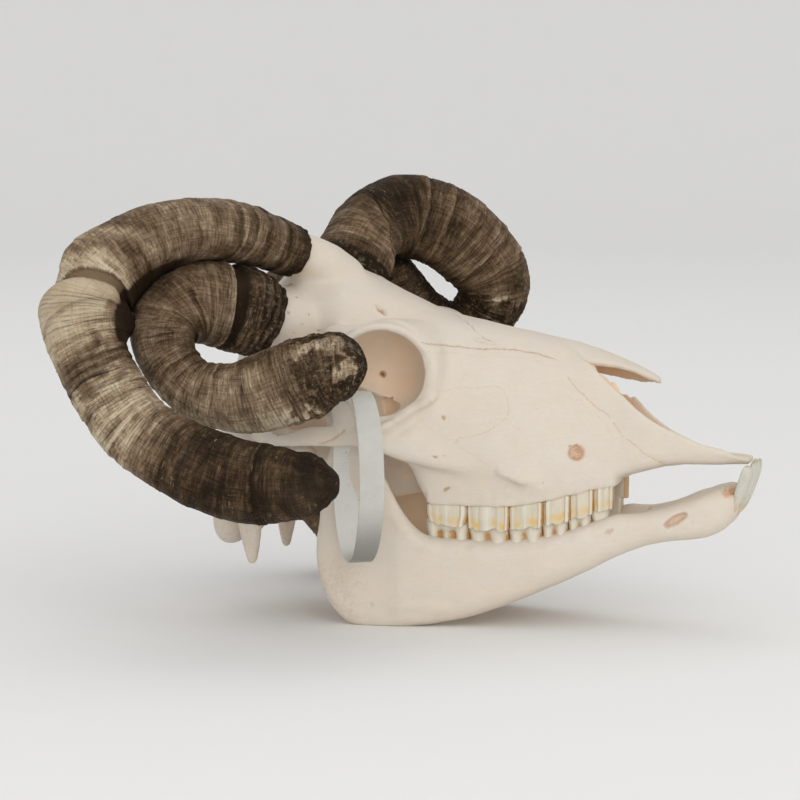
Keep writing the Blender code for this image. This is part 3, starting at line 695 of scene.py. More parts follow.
def muzzle():
    """The two upper front bones: a trough with thin walls, open above, and what hollows it."""
    rows = [
        # x, underside at the side, half width, top edge, half width there, wall
        (74, -35.5, 28.4, 24.0, 15.6, 3.0), (84, -34.0, 24.6, 21.3, 18.2, 2.6),
        (89, -32.0, 22.8, 19.8, 18.9, 2.4), (92.5, -30.5, 21.6, 17.3, 19.2, 2.3),
        (97, -29.3, 20.4, 12.7, 19.4, 2.3), (102, -27.8, 19.4, 6.8, 19.0, 2.3),
        (110.6, -25.4, 18.0, -1.6, 18.0, 2.3), (119, -23.2, 16.4, -7.1, 16.5, 2.4),
        (127.4, -22.2, 14.8, -10.8, 15, 2.6), (135.7, -22.0, 13.2, -14.6, 13.4, 2.8),
        (144.9, -22.0, 11.2, -17.1, 11.4, 3.0), (151, -22.0, 9.4, -18.8, 9.6, 3),
        (MUZZLE_TIP_X, -22.2, 6.6, -20.6, 6.6, 3.0)]
    count, step = 90, 0.7
    hollow, walls = [], []
    for drop in (0, 5.2):
        outside = []
        for x, low, half, top, top_half, wall in rows:
            top += (1.1 if 80 < x < 150 else 0) - drop * float(rise(74, 90, x) * rise(156, 146, x))
            middle = (low + top) / 2
            outer = [(top_half - wall * 0.4, top), (top_half, top - 0.9), (half, middle),
                     (half * 0.97, low + 3), (half * 0.8, low - 0.2), (half * 0.42, low - 1.4),
                     (0.0, low - 1.4)]
            inner = [(0.0, low + 2.6), (half * 0.5, low + 3.0), (half - wall - 1.2, min(low + 5.5, middle)),
                     (half - wall, middle), (top_half - wall, top - 0.9), (top_half - wall * 0.8, top - 0.1)]
            outside.append((x, *inner, *outer))
            if x < 140 and not drop:
                hollow.append((max(x, 80), (0, 60), (top_half - wall, 60), (top_half - wall, (top + 60) / 2),
                               (top_half - wall, top), *inner[3::-1]))
        loops = np.array([profile(section[1:], count) for section in outside])
        places = [section[0] for section in outside]
        walls.append(skin_of("wall", [
            [[x, np.interp(x, places, loops[:, k, 0]), np.interp(x, places, loops[:, k, 1])]
             for k in range(count)] for x in np.arange(places[0], places[-1], step)]))
    right = mirrored(walls[0])
    bpy.data.objects.remove(walls.pop(0))
    tips = both([lump("tip", (MUZZLE_TIP_X - 2.4, 4.6, -21.4), (2.4, 2.6, 1.6))])
    slot = loft("front_slot", [(126, -40, 10, 0.8, 0.8, 2.2), (134, -40, 10, 1.8, 1.8, 2.2),
                               (142, -40, 10, 2.4, 2.4, 2.2), (160, -40, 10, 2.6, 2.6, 2.2)], rows=20)
    # the far wall broke off lower than the near one
    broken = [(75, 19.5), (79, 17), (80.2, 15), (83.5, 13), (85.4, 10.4), (88.5, 9), (90, 6.6), (93.5, 5.4),
              (95.2, 3.2), (98, 3.6), (99.6, 1.6), (101.5, 3.2), (101.5, 45), (75, 45)]
    notch = skin_of("far_wall_notch", [[(x, y, z) for x, z in broken] for y in (3, 45)])
    return [right, *walls, *tips], [shell("nose_hollow", hollow[1:], soften=3), slot, notch]


def nose_roof():
    """The nasal bones: an arched blade, free in front, its left edge hanging a little lower."""
    rows = np.array([
        # x, crown height, half width, drop of the right edge, drop of the left edge
        (34, 36.0, 15, 11, 11), (52, 32.8, 17, 12, 12), (68, 30.0, 17, 10.5, 12), (80, 27.6, 16, 7.5, 12),
        (90, 24.7, 14, 4.2, 10.5), (99, 21.6, 11.6, 2.2, 9.0), (107, 18.2, 8.4, 1.4, 6.4),
        (113, 15.0, 5.0, 1.1, 2.4), (NASAL_TIP_X, 12.9, 2.2, 0.8, 1.0)], float)
    steps = np.linspace(34, NASAL_TIP_X, 90)
    rows = np.array([steps] + [np.interp(steps, rows[:, 0], column) for column in rows.T[1:]]).T
    thickness = 2.1
    share = np.linspace(-1, 1, 41)
    grid = []
    for x, crown, half, right_drop, left_drop in rows:
        drop = np.where(share > 0, left_drop, right_drop) * np.abs(share) ** 2.3
        dip = 0.5 * bump(share * half, 0, 1.6)
        outer = np.stack([share * 0 + x, share * half, crown - drop - dip], -1)
        inner = np.stack([share * 0 + x, share * max(half - 2.0, 0.5 * half),
                          crown - drop - thickness - 0.7 * np.abs(share) ** 3], -1)
        grid.append(np.vstack([outer, inner[::-1]]))
    return skin_of("nose_roof", grid)


def eye_socket():
    """The rim round the eye, on a funnel of bone that grows out of the face, left side."""
    x, y, z = ORBIT
    ring = []
    for i in range(25):
        turn = 2 * math.pi * i / 24
        corner = max(0, math.cos(turn - math.radians(232))) ** 2
        reach = 20.2 + 2.8 * corner - 0.5 * max(0, math.sin(turn)) ** 2
        ring.append((x + reach * math.cos(turn),
                     y - 0.5 - 6.5 * math.cos(turn) + 1.5 * math.sin(turn) + 3.5 * corner,
                     z + reach * math.sin(turn), 1.7, 2.7 + 0.4 * math.cos(turn) - 0.4 * corner))
    rim = tube("eye_rim", ring, facing=(0.1, 1, 0.1), sides=20, count=150)
    funnel = tube("eye_funnel", [
        (x + 6, 16, z - 2, 24, 24), (x + 3, 30, z - 1, 24, 23), (x + 1, 41, z, 23, 22.5)],
                  facing=(0, 0, 1), sides=60, count=20)
    brow = tube("brow", [(26, 36, 23, 5, 6), (10, 41, 32, 6, 5), (-8, 45, 31.5, 6, 5), (-20, 42, 31, 7, 6)],
                facing=(0, 0, 1), sides=24, count=40)
    return [rim, funnel, brow]


def cheek():
    """The cheekbone: the strut below the eye, the bar behind it and the arch to the ear, left side."""
    malar = tube("malar", [
        (40, 34, -22, 6, 4), (22, 41, -17, 7, 4), (6, 50.5, -11, 6.5, 3.8), (-8, 54.8, -9, 5, 3.4)],
                 facing=(0, 1, 0.2))
    arch = tube("arch", [
        (0, 53, -7.5, 6, 3.6), (-12, 56, -10, 5, 3.2), (-24, 56.5, -10.5, 4.4, 3.2),
        (-34, 53, -11, 4.6, 4), (-43, 44, -12, 5, 6), (-50, 32, -12, 6, 8)], count=60)
    bar = tube("eye_bar", [
        (-17, 42, 34, 6, 5), (-16, 50, 22, 4.6, 3.8), (-13, 54.5, 8, 4.2, 3.4), (-9, 55.5, -6, 5, 3.6)],
               facing=(0.3, 1, 0))
    joint = lump("jaw_socket", (-36, 43, -13), (10, 11, 3.6))
    swelling = lump("cheek_swelling", (58, 33.2, -26.5), (13, 3.6, 4), (0, 20, 0))
    return [malar, arch, bar, joint, swelling]


def skull_base():
    """Ear region, jugular processes, condyles and the plates behind the palate, left side."""
    ear = tube("ear", [(-52, 22, -18, 9, 9), (-52, 34, -20, 6, 6), (-52, 39, -21, 4.6, 4.6)],
               facing=(0, 0, 1))
    bulla = lump("bulla", (-49, 19, -44), (12, 8, 10), (0, -15, 0))
    mastoid = lump("mastoid", (-62, 29, -26), (10, 8, 22), (0, 8, 0))
    process = tube("jugular_process", [
        (-62, 29, -30, 8, 5), (-61, 28.5, -46, 6.5, 3.2), (-60.6, 26.5, -60, 4.4, 2.6),
        (-60.4, 25.2, -71, 1.8, 1.8)])
    condyle = lump("condyle", (-73, 12.5, -51.5), (9.5, 9.5, 13.5), (0, 12, 0))
    plate = tube("wing_plate", [
        (18, 14, -34, 4, 2.2), (2, 11, -34, 8, 2.0), (-10, 11, -35, 7, 1.8), (-18, 12, -34, 4, 1.8)])
    hook = tube("wing_hook", [(-8, 11, -36, 3, 1.6), (-11, 11.5, -42, 2.2, 1.4), (-15, 12.5, -46, 1.2, 1.2)])
    return [ear, bulla, mastoid, process, condyle, plate, hook]


def horn_stumps():
    """The bony cores that the horns sit on. The left ones don't mirror the right ones quite."""
    upper_right = tube("upper_right_stump", [
        (-24, -4, 50, 13, 15), (-33, -15, 60, 11.5, 15), (-41, -24, 66, 9.5, 14), (-47, -31, 69, 8, 11)],
                       facing=(0.26, -0.96, 0.1))
    upper_left = tube("upper_left_stump", [
        (-27, 14, 44, 15, 14), (-28, 20, 54, 15, 15), (-27, 25, 62, 14, 15), (-26, 29, 67, 12, 12)],
                      facing=(-0.3, 0.9, 0.1))
    lower = tube("lower_stump", [
        (-34, 20, 32, 15, 15), (-43, 32, 38, 13.5, 15), (-50, 40, 40, 12, 14), (-54, 45, 41.5, 9, 11)])
    return [upper_right, upper_left, *both([lower])]


def nose_scrolls():
    """The thin scrolled bones that stand inside the nose, behind its opening, and the wall between."""
    pieces = []
    for side in (RIGHT, LEFT):
        for lane, (top, bottom) in enumerate(((12.5, 4.0), (2.5, -9.0))):
            turn = np.linspace(0, 1.55 * np.pi, 34)
            grid = []
            for share in np.linspace(0, 1, 44):
                x = 62 + share * (33 - 4 * lane) + 0.9 * math.sin(9 * share)
                size = (top - bottom) / 2 * (1 - 0.35 * share ** 4)
                middle = (top + bottom) / 2 - 6 * share * (1 + 0.4 * lane)
                ragged = 0.5 * math.sin(31 * share) * rise(0.8, 1.0, share)
                arms = size * (0.45 + 0.55 * turn / turn[-1]) + ragged
                outer = np.stack([turn * 0 + x, side * (8.5 + np.sin(turn) * arms * 0.75),
                                  middle + np.cos(turn) * arms], -1)
                inner = outer - np.stack([turn * 0, side * np.sin(turn) * 0.75, np.cos(turn) * 0.75], -1)
                grid.append(np.vstack([outer, inner[::-1]]))
            pieces.append(skin_of("scroll", grid))
    # a torn sheet stands just inside the near wall
    sheet = []
    for x, y, z in smooth_rows([(74, -13.6, 22.4), (80, -14.4, 21.6), (86, -15.4, 19.9), (90.5, -16, 17.8),
                                (94.5, -16.2, 14.2), (99, -16, 9.2), (103, -15.6, 4.6)], 70)[0]:
        torn = (z + 1.2 + 1.6 * float(noise(np.array([x, 0, 0]), 1.7, 61))
                + float(noise(np.array([x, 5, 0]), 5.0, 62)))
        waist = (z + torn) / 2 - 3
        sheet.append([(x, y, z - 9), (x, y + 0.9, z - 9), (x, y + 1.4, waist), (x, y + 0.9, torn),
                      (x, y + 0.2, torn), (x, y + 0.4, waist)])
    pieces.append(skin_of("torn_sheet", sheet))
    wall = loft("nose_wall", [(40, -26, 20, 0.7, 0.7, 4), (86, -25, 14, 0.7, 0.7, 4),
                              (97, -25, 2, 0.6, 0.6, 4), (112, -24, -13, 0.8, 0.8, 4)], sides=48, rows=60)
    return united("nose_scrolls", pieces + [wall])


def cranium_shape(grain):
    front, nose_cutters = muzzle()
    solid = united("bone_cranium", face_and_roof() + both(eye_socket() + cheek() + skull_base())
                   + horn_stumps() + front)
    melted(solid, max(grain * 1.3, 0.85), 6)
    x, y, z = ORBIT

    def face_skin(points):
        away = np.hypot(points[:, 0] - x, points[:, 2] - z)
        gums = np.interp(points[:, 0], (20, 57, 70, 86, 99), (-41.4, -41.2, -39.6, -35.8, -33))
        return (rise(20.4, 22.4, away) * rise(14, 22, points[:, 0]) * rise(104, 94, points[:, 0])
                * rise(1.5, 6, points[:, 2] - gums))
    softened(solid, face_skin, 45)

    def forehead(points):
        away = np.hypot(points[:, 0] - x, points[:, 2] - z)
        return (rise(25, 28, away) * rise(24, 34, points[:, 2]) * rise(-60, -45, points[:, 0])
                * rise(30, 16, points[:, 0]))
    softened(solid, forehead, 40)
    sockets = both([lump("eye_hollow", (x, y + 3, z), (ORBIT_RADIUS, ORBIT_DEPTH + 3, ORBIT_RADIUS - 0.4),
                         (0, 0, -6))])
    brain_hole = lump("great_foramen", (-86, 0, -37), (22, 10, 9), (0, 24, 0))
    palate = loft("palate_hollow", [
        (12, -60, -32, 14, 12, 2.6), (30, -60, -31, 19, 16, 2.6), (60, -60, -32, 19, 15, 2.6),
        (85, -56, -30, 13.5, 10, 2.6), (104, -52, -27.5, 10, 7, 2.6), (150, -52, -26, 7, 4, 2.4)], rows=70)
    throat = tube("throat", [(24, 0, -36, 7, 8), (6, 0, -30, 7, 8), (-14, 0, -44, 6, 10)])
    temple = both([lump("temple_hollow", (-32, 46, 6), (16, 14, 24)),
                   lump("jaw_space", (-7, 36, -13), (20, 13.5, 23), (0, 10, 0)),
                   tube("ear_hole", [(-52, 27, -18.5, 2, 2), (-52, 34, -20, 2.6, 2.6),
                                     (-52, 42, -21.4, 3, 3)], facing=(0, 0, 1))])
    optic = both([tube("optic_hole", [(-5, 8, 6, 2.4, 2.6), (-4.6, 16, 6, 2.2, 2.6), (-4, 26, 5, 2.6, 3)],
                       facing=(0, 0, 1)),
                  lump("nerve_hole", (84.6, 26.6, -17.8), (3.3, 3.9, 3.5), (0, 25, 0)),
                  tube("socket_floor_hole", [(5, 20, -14, 2.4, 3), (3, 25.5, -5, 2.6, 4),
                                             (2, 29, 3.5, 3, 4.6)], facing=(0, 1, 0))])
    carved(solid, [*nose_cutters, *sockets, brain_hole, palate, throat, *temple, *optic])
    solid = melted(united("bone_cranium", [main_body(solid), nose_roof()]), grain, 4)
    return softened(solid, lambda points: rise(80, 90, points[:, 0]) * rise(6, 12, points[:, 2]), 12)


# Sutures run through a few places on the right side's skin; the left side has the same, mirrored. After
# the places come depth, strength, wander and stain.
SUTURES = {
    "nose and cheek": ([(20, -46, 30), (26.3, -39, 28.6), (31.2, -25.2, 26.7), (37.4, -19.8, 25.5),
                        (44.9, -18, 25.1), (53.7, -15.9, 25.1), (59.7, -15.1, 24.3), (66.1, -14.3, 23.1),
                        (75.2, -15.8, 20.5)], 0.5, 0.9, 0.3, 0.45),
    "brow and nose": ([(24, 0, 39.5), (29.2, -4.7, 37.1), (35.5, -12.2, 33.9), (40.7, -15.5, 30),
                       (46.4, -15, 28.3)], 0.4, 0.85, 0.5, 0.25),
    "tear bone, front": ([(52.5, -25.6, 10.2), (55.4, -28.6, 4), (55.8, -30.5, -1.8), (52.7, -32, -5.2),
                          (48.7, -33.5, -8.1), (40, -36.5, -11), (31, -39.5, -12)], 0.05, 0.3, 0.5, 0.05),
    "tear bone, top": ([(26, -41, 8.2), (34.6, -29.7, 9.1), (43.8, -28.1, 9.6), (52.5, -25.6, 10.2)],
                       0.05, 0.25, 0.45, 0.0),
    "cheek bone": ([(20.5, -44, -2), (25, -42.5, -8), (31, -39.5, -12), (42, -36.5, -19), (50, -36, -24)],
                   0.05, 0.16, 0.55, 0.0),
    "front upper bone": ([(77, -15, 15), (82, -18.5, 10), (87.1, -20.2, 6.1), (92.8, -20, 1.1),
                          (96.6, -19.5, -1.8), (103, -18.9, -10.3), (109.3, -17.5, -15.8),
                          (115.5, -15.5, -20.6), (121.7, -12, -24.5)], 0.7, 0.5, 0.5, 0.3),
    "temple": ([(-20, -40, 24), (-30, -36, 22), (-42, -34, 14), (-52, -31, 4), (-60, -28, -8)],
               0.25, 0.5, 0.9, 0.05),
    "arch": ([(-8, -58, -7), (-14, -58.5, -11.5), (-20.5, -58, -13.8)], 0.3, 0.9, 0.25, 0.5),
}


def cranium_detail(piece, seam_depth):
    """Sutures, vessel holes, crests and the small unevenness of real bone."""
    carve = Carver(piece)
    points, normals = carve.points, carve.normals
    carve.points = points + normals * (0.34 * noise(points, 13, 2) + 0.12 * noise(points, 4.5, 3))[:, None]
    for side in (RIGHT, LEFT):
        carve.flip = np.array([1, -side, 1])
        # sockets' lip, drawn out to an edge, and the smooth band under the eye
        carve.swell((9.5, -46, -12), 8.5, -1.9)
        carve.ridge([(27.5, -40.5, 11), (25.8, -42, 6), (18.5, -44.5, 1.8), (12, -46, -2.6),
                     (5.6, -47.5, -6.9), (-1, -50, -8.8), (-6, -52, -9.4)], 3.0, 2.4)
        carve.swell((18, -44, -5), 8, -0.8)
        carve.ridge([(27, -40.5, 2.5), (19, -44, -3.2), (12.6, -46, -8), (6, -48, -12),
                     (0, -50, -14)], 3.8, -1.3)
        # crest over the cheek teeth, with the rough place for the jaw muscle
        carve.ridge([(6, -50, -16.5), (16, -46, -19.5), (27, -41.5, -23), (40, -38, -25),
                     (52, -36.4, -26)], 5, 0.35)
        carve.ridge([(51, -36.2, -24.6), (55, -36.6, -26), (60, -36.2, -28), (66, -35, -30.4)], 2.8, 1.6)
        carve.ridge([(54, -36.4, -24), (58, -36.2, -24.6), (62.5, -35, -25)], 1.7, 0.5)
        carve.swell((61, -35, -33.4), 5.5, -0.9)
        carve.swell((84, -23, -10), 14, -0.5)
        for x in UPPER_TOOTH_X[1:-1]:
            y = -float(np.interp(x, (20, 45, 60, 78, 96), (33.6, 33.4, 32.2, 28, 20.6)))
            carve.swell((x, y, -37.5), 4.2, -0.55)
        for number, ribs in enumerate(RIBS):
            front, back = UPPER_TOOTH_X[number:number + 2]
            for spot, _, _ in ribs:
                x = front - spot * (front - back)
                y, gum = -float(np.interp(x, *TOOTH_OUTER)), float(np.interp(x, *UPPER_GUM))
                carve.ridge([(x, y, gum - 1), (x, y, gum + 2), (x, y, gum + 6), (x, y, gum + 8)], 1.9, 0.4)
        # nerve and vessel holes
        for x, z in ((81.8, -15.4), (81.6, -18.2), (84, -15), (85, -20.2), (83.4, -19.8), (84.4, -17.4)):
            carve.pit((x, -24, z), 0.9, 0.5, 0.55)
        near, far = carve.around((84.6, -24.0, -17.8) * carve.flip, 5.0)
        deepen(carve.marrow, 0.75 * rise(4.6, 3.4, far), near)
        carve.pit((92.4, -19.8, -21.7), 0.75, 0.7, 0.8)
        carve.trough([(-2.2, -27.4, 42.6), (0.6, -29.4, 40.6)], 1.15, 2.6, 0.95)
        for spot, radius in (((29.5, -37.6, -2.7), 0.7), ((21.1, -40.9, -6.0), 0.6),
                             ((26.9, -42.9, -19.3), 0.65), ((30.2, -41.8, -18.5), 0.5),
                             ((11.6, -51.4, -11.9), 0.75), ((67, -30, 2), 0.4),
                             ((-42.7, -25.2, 51.6), 0.95), ((-35.3, -37.8, 47.4), 0.85),
                             ((-38, -43, 41), 0.6), ((-33, -40, 36), 0.5), ((-30, -39, 40), 0.45),
                             ((-36, -43.5, 32), 0.7), ((-26, -38, 33), 0.45), ((76, -27, -29.5), 0.6),
                             ((79.5, -26, -29), 0.45), ((71, -30, -31), 0.45), ((31, -37.6, -33), 0.6),
                             ((28, -38, -29), 0.5)):
            carve.pit(spot, radius, radius * 1.1, 0.9)
        carve.pit((-1.7, -22.0, 13.5), 1.3, 1.8, 1.1)
        for n, (spots, depth, strength, wander, stain) in enumerate(SUTURES.values()):
            carve.suture(spots, depth * seam_depth / 0.35, strength, wander, stain, 3 + n)
    deepen(carve.ochre, 0.34 * rise(-24, -44, points[:, 2] + 5 * noise(points, 9, 52))
           * rise(-8, -30, points[:, 0]))
    # painted shade: the great foramen is stained past the ochre's range, so that the material paints the hole
    # dark
    brain = np.linalg.norm((points - (-86, 0, -37)) / (22, 10, 9), axis=1)
    deepen(carve.ochre, 1.5 * rise(1.04, 0.75, brain))
    # painted warm bounce light on the palate's downward faces between the tooth rows
    between_teeth = np.interp(points[:, 0], (20, 60, 80, 96, 110), (22, 18, 14, 8, 3))
    carve.painted_bounce = (0.8 * rise(-0.1, -0.6, normals[:, 2]) * rise(-18, -26, points[:, 2])
                     * rise(-10, 5, points[:, 0]) * (np.abs(points[:, 1]) < between_teeth))
    # painted shade on the downward faces under the front of the nose's roof
    nose_underside_shade = rise(82, 90, points[:, 0]) * rise(8, 12, points[:, 2]) * rise(-0.2, -0.6, normals[:, 2])
    deepen(carve.ochre, 0.3 * nose_underside_shade)
    carve.suture([(25, 0, 39.2), (45, 0, 34.6), (70, 0, 29.6), (95, 0, 23), (112, 0, 15.6)],
                 0.35, 0.7, 0.25, 0.1, 40)
    carve.suture([(-30, 0, 64), (-12, 0, 55), (6, 0, 45.5), (25, 0, 39.2)], 0.14, 0.3, 0.5, 0.0, 41)
    return carve.done()


# ---- teeth --------------------------------------------------------------------------------------
def meeting_height(x):
    """Where the upper and lower cheek teeth meet."""
    return np.interp(x, (22, 45, 66, 84, 100), (-49.5, -51.0, -50.3, -46.8, -42.6))


# How far out the upper teeth's outer faces stand, and where the bone ends above them, both along X.
TOOTH_OUTER = (30, 45, 58, 70, 78, 86, 96), (33.2, 33.0, 31.9, 29.7, 27.4, 24.6, 20.2)
UPPER_GUM = (57, 70, 78, 86, 94, 99), (-41.4, -39.6, -37.5, -35.5, -33.5, -32.8)
TOOTH_SIDES, TOOTH_RINGS = 132, 40
# Ribs down an upper tooth's outer face, (share from its front, height, half width), and its cusps' shares.
RIBS = (((0.06, 0.8, 0.8), (0.32, 0.5, 0.6), (0.66, 0.9, 0.9)),
        ((0.05, 1, 0.9), (0.6, 0.7, 0.8), (0.95, 0.5, 0.6)),
        ((0.07, 1, 1.0), (0.78, 0.9, 0.9)), ((0.05, 1, 0.9), (0.5, 1, 0.9), (0.9, 0.9, 0.9)),
        ((0.05, 0.9, 0.8), (0.26, 0.5, 0.7), (0.57, 0.9, 1.5), (0.95, 0.9, 0.7)),
        ((0.12, 0.9, 0.9), (0.54, 1, 1.0), (0.93, 0.8, 0.9)))
CUSPS = ((0.42,), (0.42,), (0.43,), (0.15, 0.68), (0.14, 0.74), (0.32, 0.74))


def cheek_tooth(upper, number, front, back):
    """One grinding tooth of the left side. Gives its rings of points, how brown each is, from dirt and
    painted shade, and how ochre each is, where below 0 means a painted highlight.
    """
    length, middle = front - back, (front + back) / 2
    meet = float(meeting_height(middle))
    lobes = 1 if number == 0 else 3 if number == 5 else 2
    turn = np.linspace(0, 2 * np.pi, TOOTH_SIDES, endpoint=False)
    across, up = round_box(turn, 5.0)
    share = (1 - across) / 2            # 0 at the tooth's front, 1 at its back
    outward = np.clip(up, 0, 1) ** 0.6
    inward = (1 - up) / 2
    yaw = float(np.interp(middle, (20, 60, 80, 100), (0.0, 0.04, 0.2, 0.36)))
    place = front - share * length
    if upper:
        outer = float(np.interp(middle, *TOOTH_OUTER))
        depth = 9 + min(number, 3) * 1.2
        gum = np.interp(place, *UPPER_GUM)
        root = gum + 7
        ribs = sum(high * rise(wide + 0.4, wide - 0.25, np.abs(share - spot) * length)
                   for spot, high, wide in RIBS[number])
        flanks = sum(bump(np.abs(share - spot) * length - wide, 0.35, 0.3)
                     for spot, high, wide in RIBS[number])
        peaks = np.max([bump((share - spot) * length, 0, 2.4) for spot in CUSPS[number]], axis=0)
        tip = np.interp(place, (22, 28.8, 36, 45, 54, 62, 69, 77, 87, 96),
                        (-49.4, -50.6, -51.4, -52.4, -52.3, -51.2, -50.6, -48.9, -46.5, -43.2))
        tip = tip + 0.3 * noise(np.stack([place, place * 0, place * 0], -1), 0.9, 14)
        edge = tip + 1.7 * (1 - np.maximum(peaks, 0.7 * ribs)) * outward + 2.0 * inward
    else:
        outer = float(np.interp(middle, (30, 60, 78, 96), (31.4, 29.0, 24.4, 18.0)))
        depth = 6.8 + min(number, 3) * 0.6
        gum = np.full(TOOTH_SIDES, meet - 4.8)
        root = gum - 8
        cell = share * lobes - np.floor(np.clip(share * lobes, 0, lobes - 1e-6))
        edge = meet + 2.4 + 1.2 * inward
    rings, brown, ochre = [], [], []
    for down in np.linspace(0, 1, TOOTH_RINGS):
        z = root + (edge - root) * down
        if upper:
            above = rise(-0.3, 2.6, z - gum)
            width = 1.05 - 0.3 * above - (0.03 if number < 5 else 0.14) * rise(-3, -9, z - gum)
            relief = (1.35 * ribs - 1.0 + 0.5 * peaks) * (1 - above) - 4.5 * above
            crown = (1 - above) * outward
            # Painted shade darkens the flanks beside each rib; the crown also darkens along the gum line, and
            # ochre dirt fills the gaps between teeth. The ochre band is the tooth's own; down each rib it
            # goes below 0, a painted highlight.
            dirt_and_shade = 0.2 * np.clip(flanks, 0, 1) * crown + 0.2 * crown * rise(1.4, 0, np.abs(z - gum))
            dirt_and_shade = np.maximum(dirt_and_shade, 0.75 * rise(0.86, 0.96, np.abs(across)))
            yellow_and_highlight = crown * (1.2 * bump(z - edge, 2.6, 1.9) * (1 - ribs) - 0.5 * ribs)
        else:
            low = rise(0.6, 4.4, meet - z)
            width = 1.01
            taper = 1 - 0.2 * low
            lobe = np.sqrt(np.clip(1 - ((2 * cell - 1) / taper) ** 2, 0, 1))
            relief = (1.5 + 1.1 * low) * (lobe - 1) + 0.1
            # Painted light and shade model the lobes: each pales at its middle, lifting a row that sits in
            # shade, and darkens in the creases between lobes, more so lower down; the gaps between teeth
            # darken too, and the lobes' edges turn ochre.
            dirt_and_shade = np.clip(rise(0.42, 0.08, lobe) * (0.12 + low), 0, 1) * outward
            dirt_and_shade = np.maximum(dirt_and_shade, (0.35 + 0.5 * low) * rise(0.93, 0.99, np.abs(across)))
            yellow_and_highlight = (0.6 * rise(0.95, 0.5, lobe) - 0.4) * outward
        x = middle + across * length / 2 * width
        y = outer - depth / 2 + up * depth / 2 + relief * outward
        y = y + 0.06 * noise(np.stack([share * length, turn * 0 + number * 9, z * 0.12], -1), 0.7, 12)
        x = x + (y - outer) * yaw * 0.4
        y = y + (x - middle) * -yaw
        rings.append(np.stack([x, y, z], -1))
        brown.append(dirt_and_shade)
        ochre.append(yellow_and_highlight)
    top = rings[-1].mean(0)             # the chewing surface, hollowed between its edges
    for shrink, sink in ((0.86, 0.0), (0.6, 1.1), (0.3, 0.7)):
        inner = top + (rings[TOOTH_RINGS - 1] - top) * shrink
        inner[:, 2] += sink if upper else -sink
        rings.append(inner)
        brown.append(np.full(TOOTH_SIDES, 0.9 if sink else 0.4))
        ochre.append(np.zeros(TOOTH_SIDES))
    return np.array(rings), np.array(brown), np.array(ochre)


def tooth_row(name, upper, side):
    """Six cheek teeth in one row."""
    borders = UPPER_TOOTH_X if upper else LOWER_TOOTH_X
    pieces, paints = [], ([], [])
    for number, (front, back) in enumerate(zip(borders, borders[1:])):
        rings, *values = cheek_tooth(upper, number, front, back)
        rings[..., 1] *= side
        pieces.append(skin_of(f"{name}_{number}", rings))
        for paint, value in zip(paints, values):
            paint.append(np.concatenate([value.ravel(), [value[0].mean(), value[-1].mean()]]))
    row = united(name, pieces)
    painted(row, "brown", np.concatenate(paints[0]))
    painted(row, "ochre", np.concatenate(paints[1]))
    return row


def front_teeth(side):
    """Four spade-shaped front teeth of one half, fanned out from the chin."""
    pieces, paint, sides = [], [], 30
    for n, (root_y, tip_y) in enumerate(((2.6, 3.3), (5.4, 8.2), (7.6, 11.2), (9.6, 13.6))):
        back = 2.1 if n > 1 else 0.0
        path, run = smooth_rows([
            (146 - 0.7 * back, root_y, -47, 1.5, 1.5), (151.8 - back, root_y + 0.3, -41, 1.8, 1.6),
            (155.6 - back, (root_y + tip_y) / 2 + 0.4, -32, 2.3, 1.4),
            (157.8 - back, tip_y - 0.3, -25.6, 2.3, 1.0),
            (158.4 - back, tip_y, -21.9 - 0.4 * back, 1.3, 0.4)], 46)
        facing = ((1, 0.25, -0.3), (1, 0.6, -0.3), (0.6, 1, -0.2), (0.35, 1, -0.1))[n]
        arms, _ = tube_grid(path, facing, sides, 2.4)
        rings = path[:, None, :3] + arms
        rings[..., 1] *= side
        pieces.append(skin_of(f"front_tooth_{n}", rings))
        share = np.repeat(run / run[-1], sides)
        paint += [share, [0.0, 1.0]]
    name = f"front_teeth_{SIDE_NAMES[side]}"
    row = united(name, pieces)
    painted(row, "crown", np.concatenate([np.ravel(p) for p in paint]))
    return row


# ---- the lower jaw ------------------------------------------------------------------------------
JAW_OUTLINE = (
    # condyle, notch and coronoid process
    (-37, -22), (-33, -18), (-27, -19), (-22, -22), (-20, -12), (-25, 2), (-28, 12), (-23, 16), (-14, 6),
    # front edge of the ramus and the rim that the cheek teeth stand in
    (-5, -12), (3, -28), (10, -42), (16, -50.5), (22, -54.8), (36, -56.0), (54, -55.9), (70, -53.8),
    (80, -51.6), (90, -48.4), (99, -44.9),
    # toothless bar, front teeth's rim, chin
    (104, -44.6), (113, -43.8), (125, -40.2), (136, -35.6), (144, -32.7), (150, -32.4), (153, -37),
    (149.5, -46.5), (143, -52.5),
    # lower border back to the angle
    (135, -55.4), (120, -56.9), (107, -60.6), (87, -70), (66, -79.8), (45, -88), (24, -93), (10, -94.3),
    (-3, -95.0), (-14.3, -92.6), (-21.6, -84.2), (-25.2, -75), (-27, -66), (-26.6, -56), (-25, -46),
    (-26, -36), (-33, -28))


def jaw_middle(x, z):
    """How far from the skull's middle plane the jaw's plate runs."""
    body = np.interp(x, (-30, 10, 30, 50, 75, 99, 115, 130, 142, 156),
                     (38.5, 36, 31, 27, 22.5, 16.6, 12.6, 9.2, 7.6, 6.4))
    lean = np.clip((z + 72) / 50, 0, 1.2) * np.clip((24 - x) / 30, 0, 1)
    return body + 3.5 * lean


def jaw_half_thickness(x):
    return np.interp(x, (-30, 5, 22, 50, 80, 105, 120, 135, 156),
                     (3.0, 3.2, 5.6, 6.4, 5.8, 5.0, 6.2, 7.2, 6.3))


def distance_to_outline(x, z, outline):
    """How deep inside the outline each place lies, in mm."""
    best = np.full(len(x), 1e9)
    for (x0, z0), (x1, z1) in zip(outline, np.roll(outline, -1, axis=0)):
        dx, dz = x1 - x0, z1 - z0
        length = dx * dx + dz * dz
        if length < 1e-9:
            continue
        t = np.clip(((x - x0) * dx + (z - z0) * dz) / length, 0, 1)
        best = np.minimum(best, np.hypot(x - x0 - t * dx, z - z0 - t * dz))
    return best


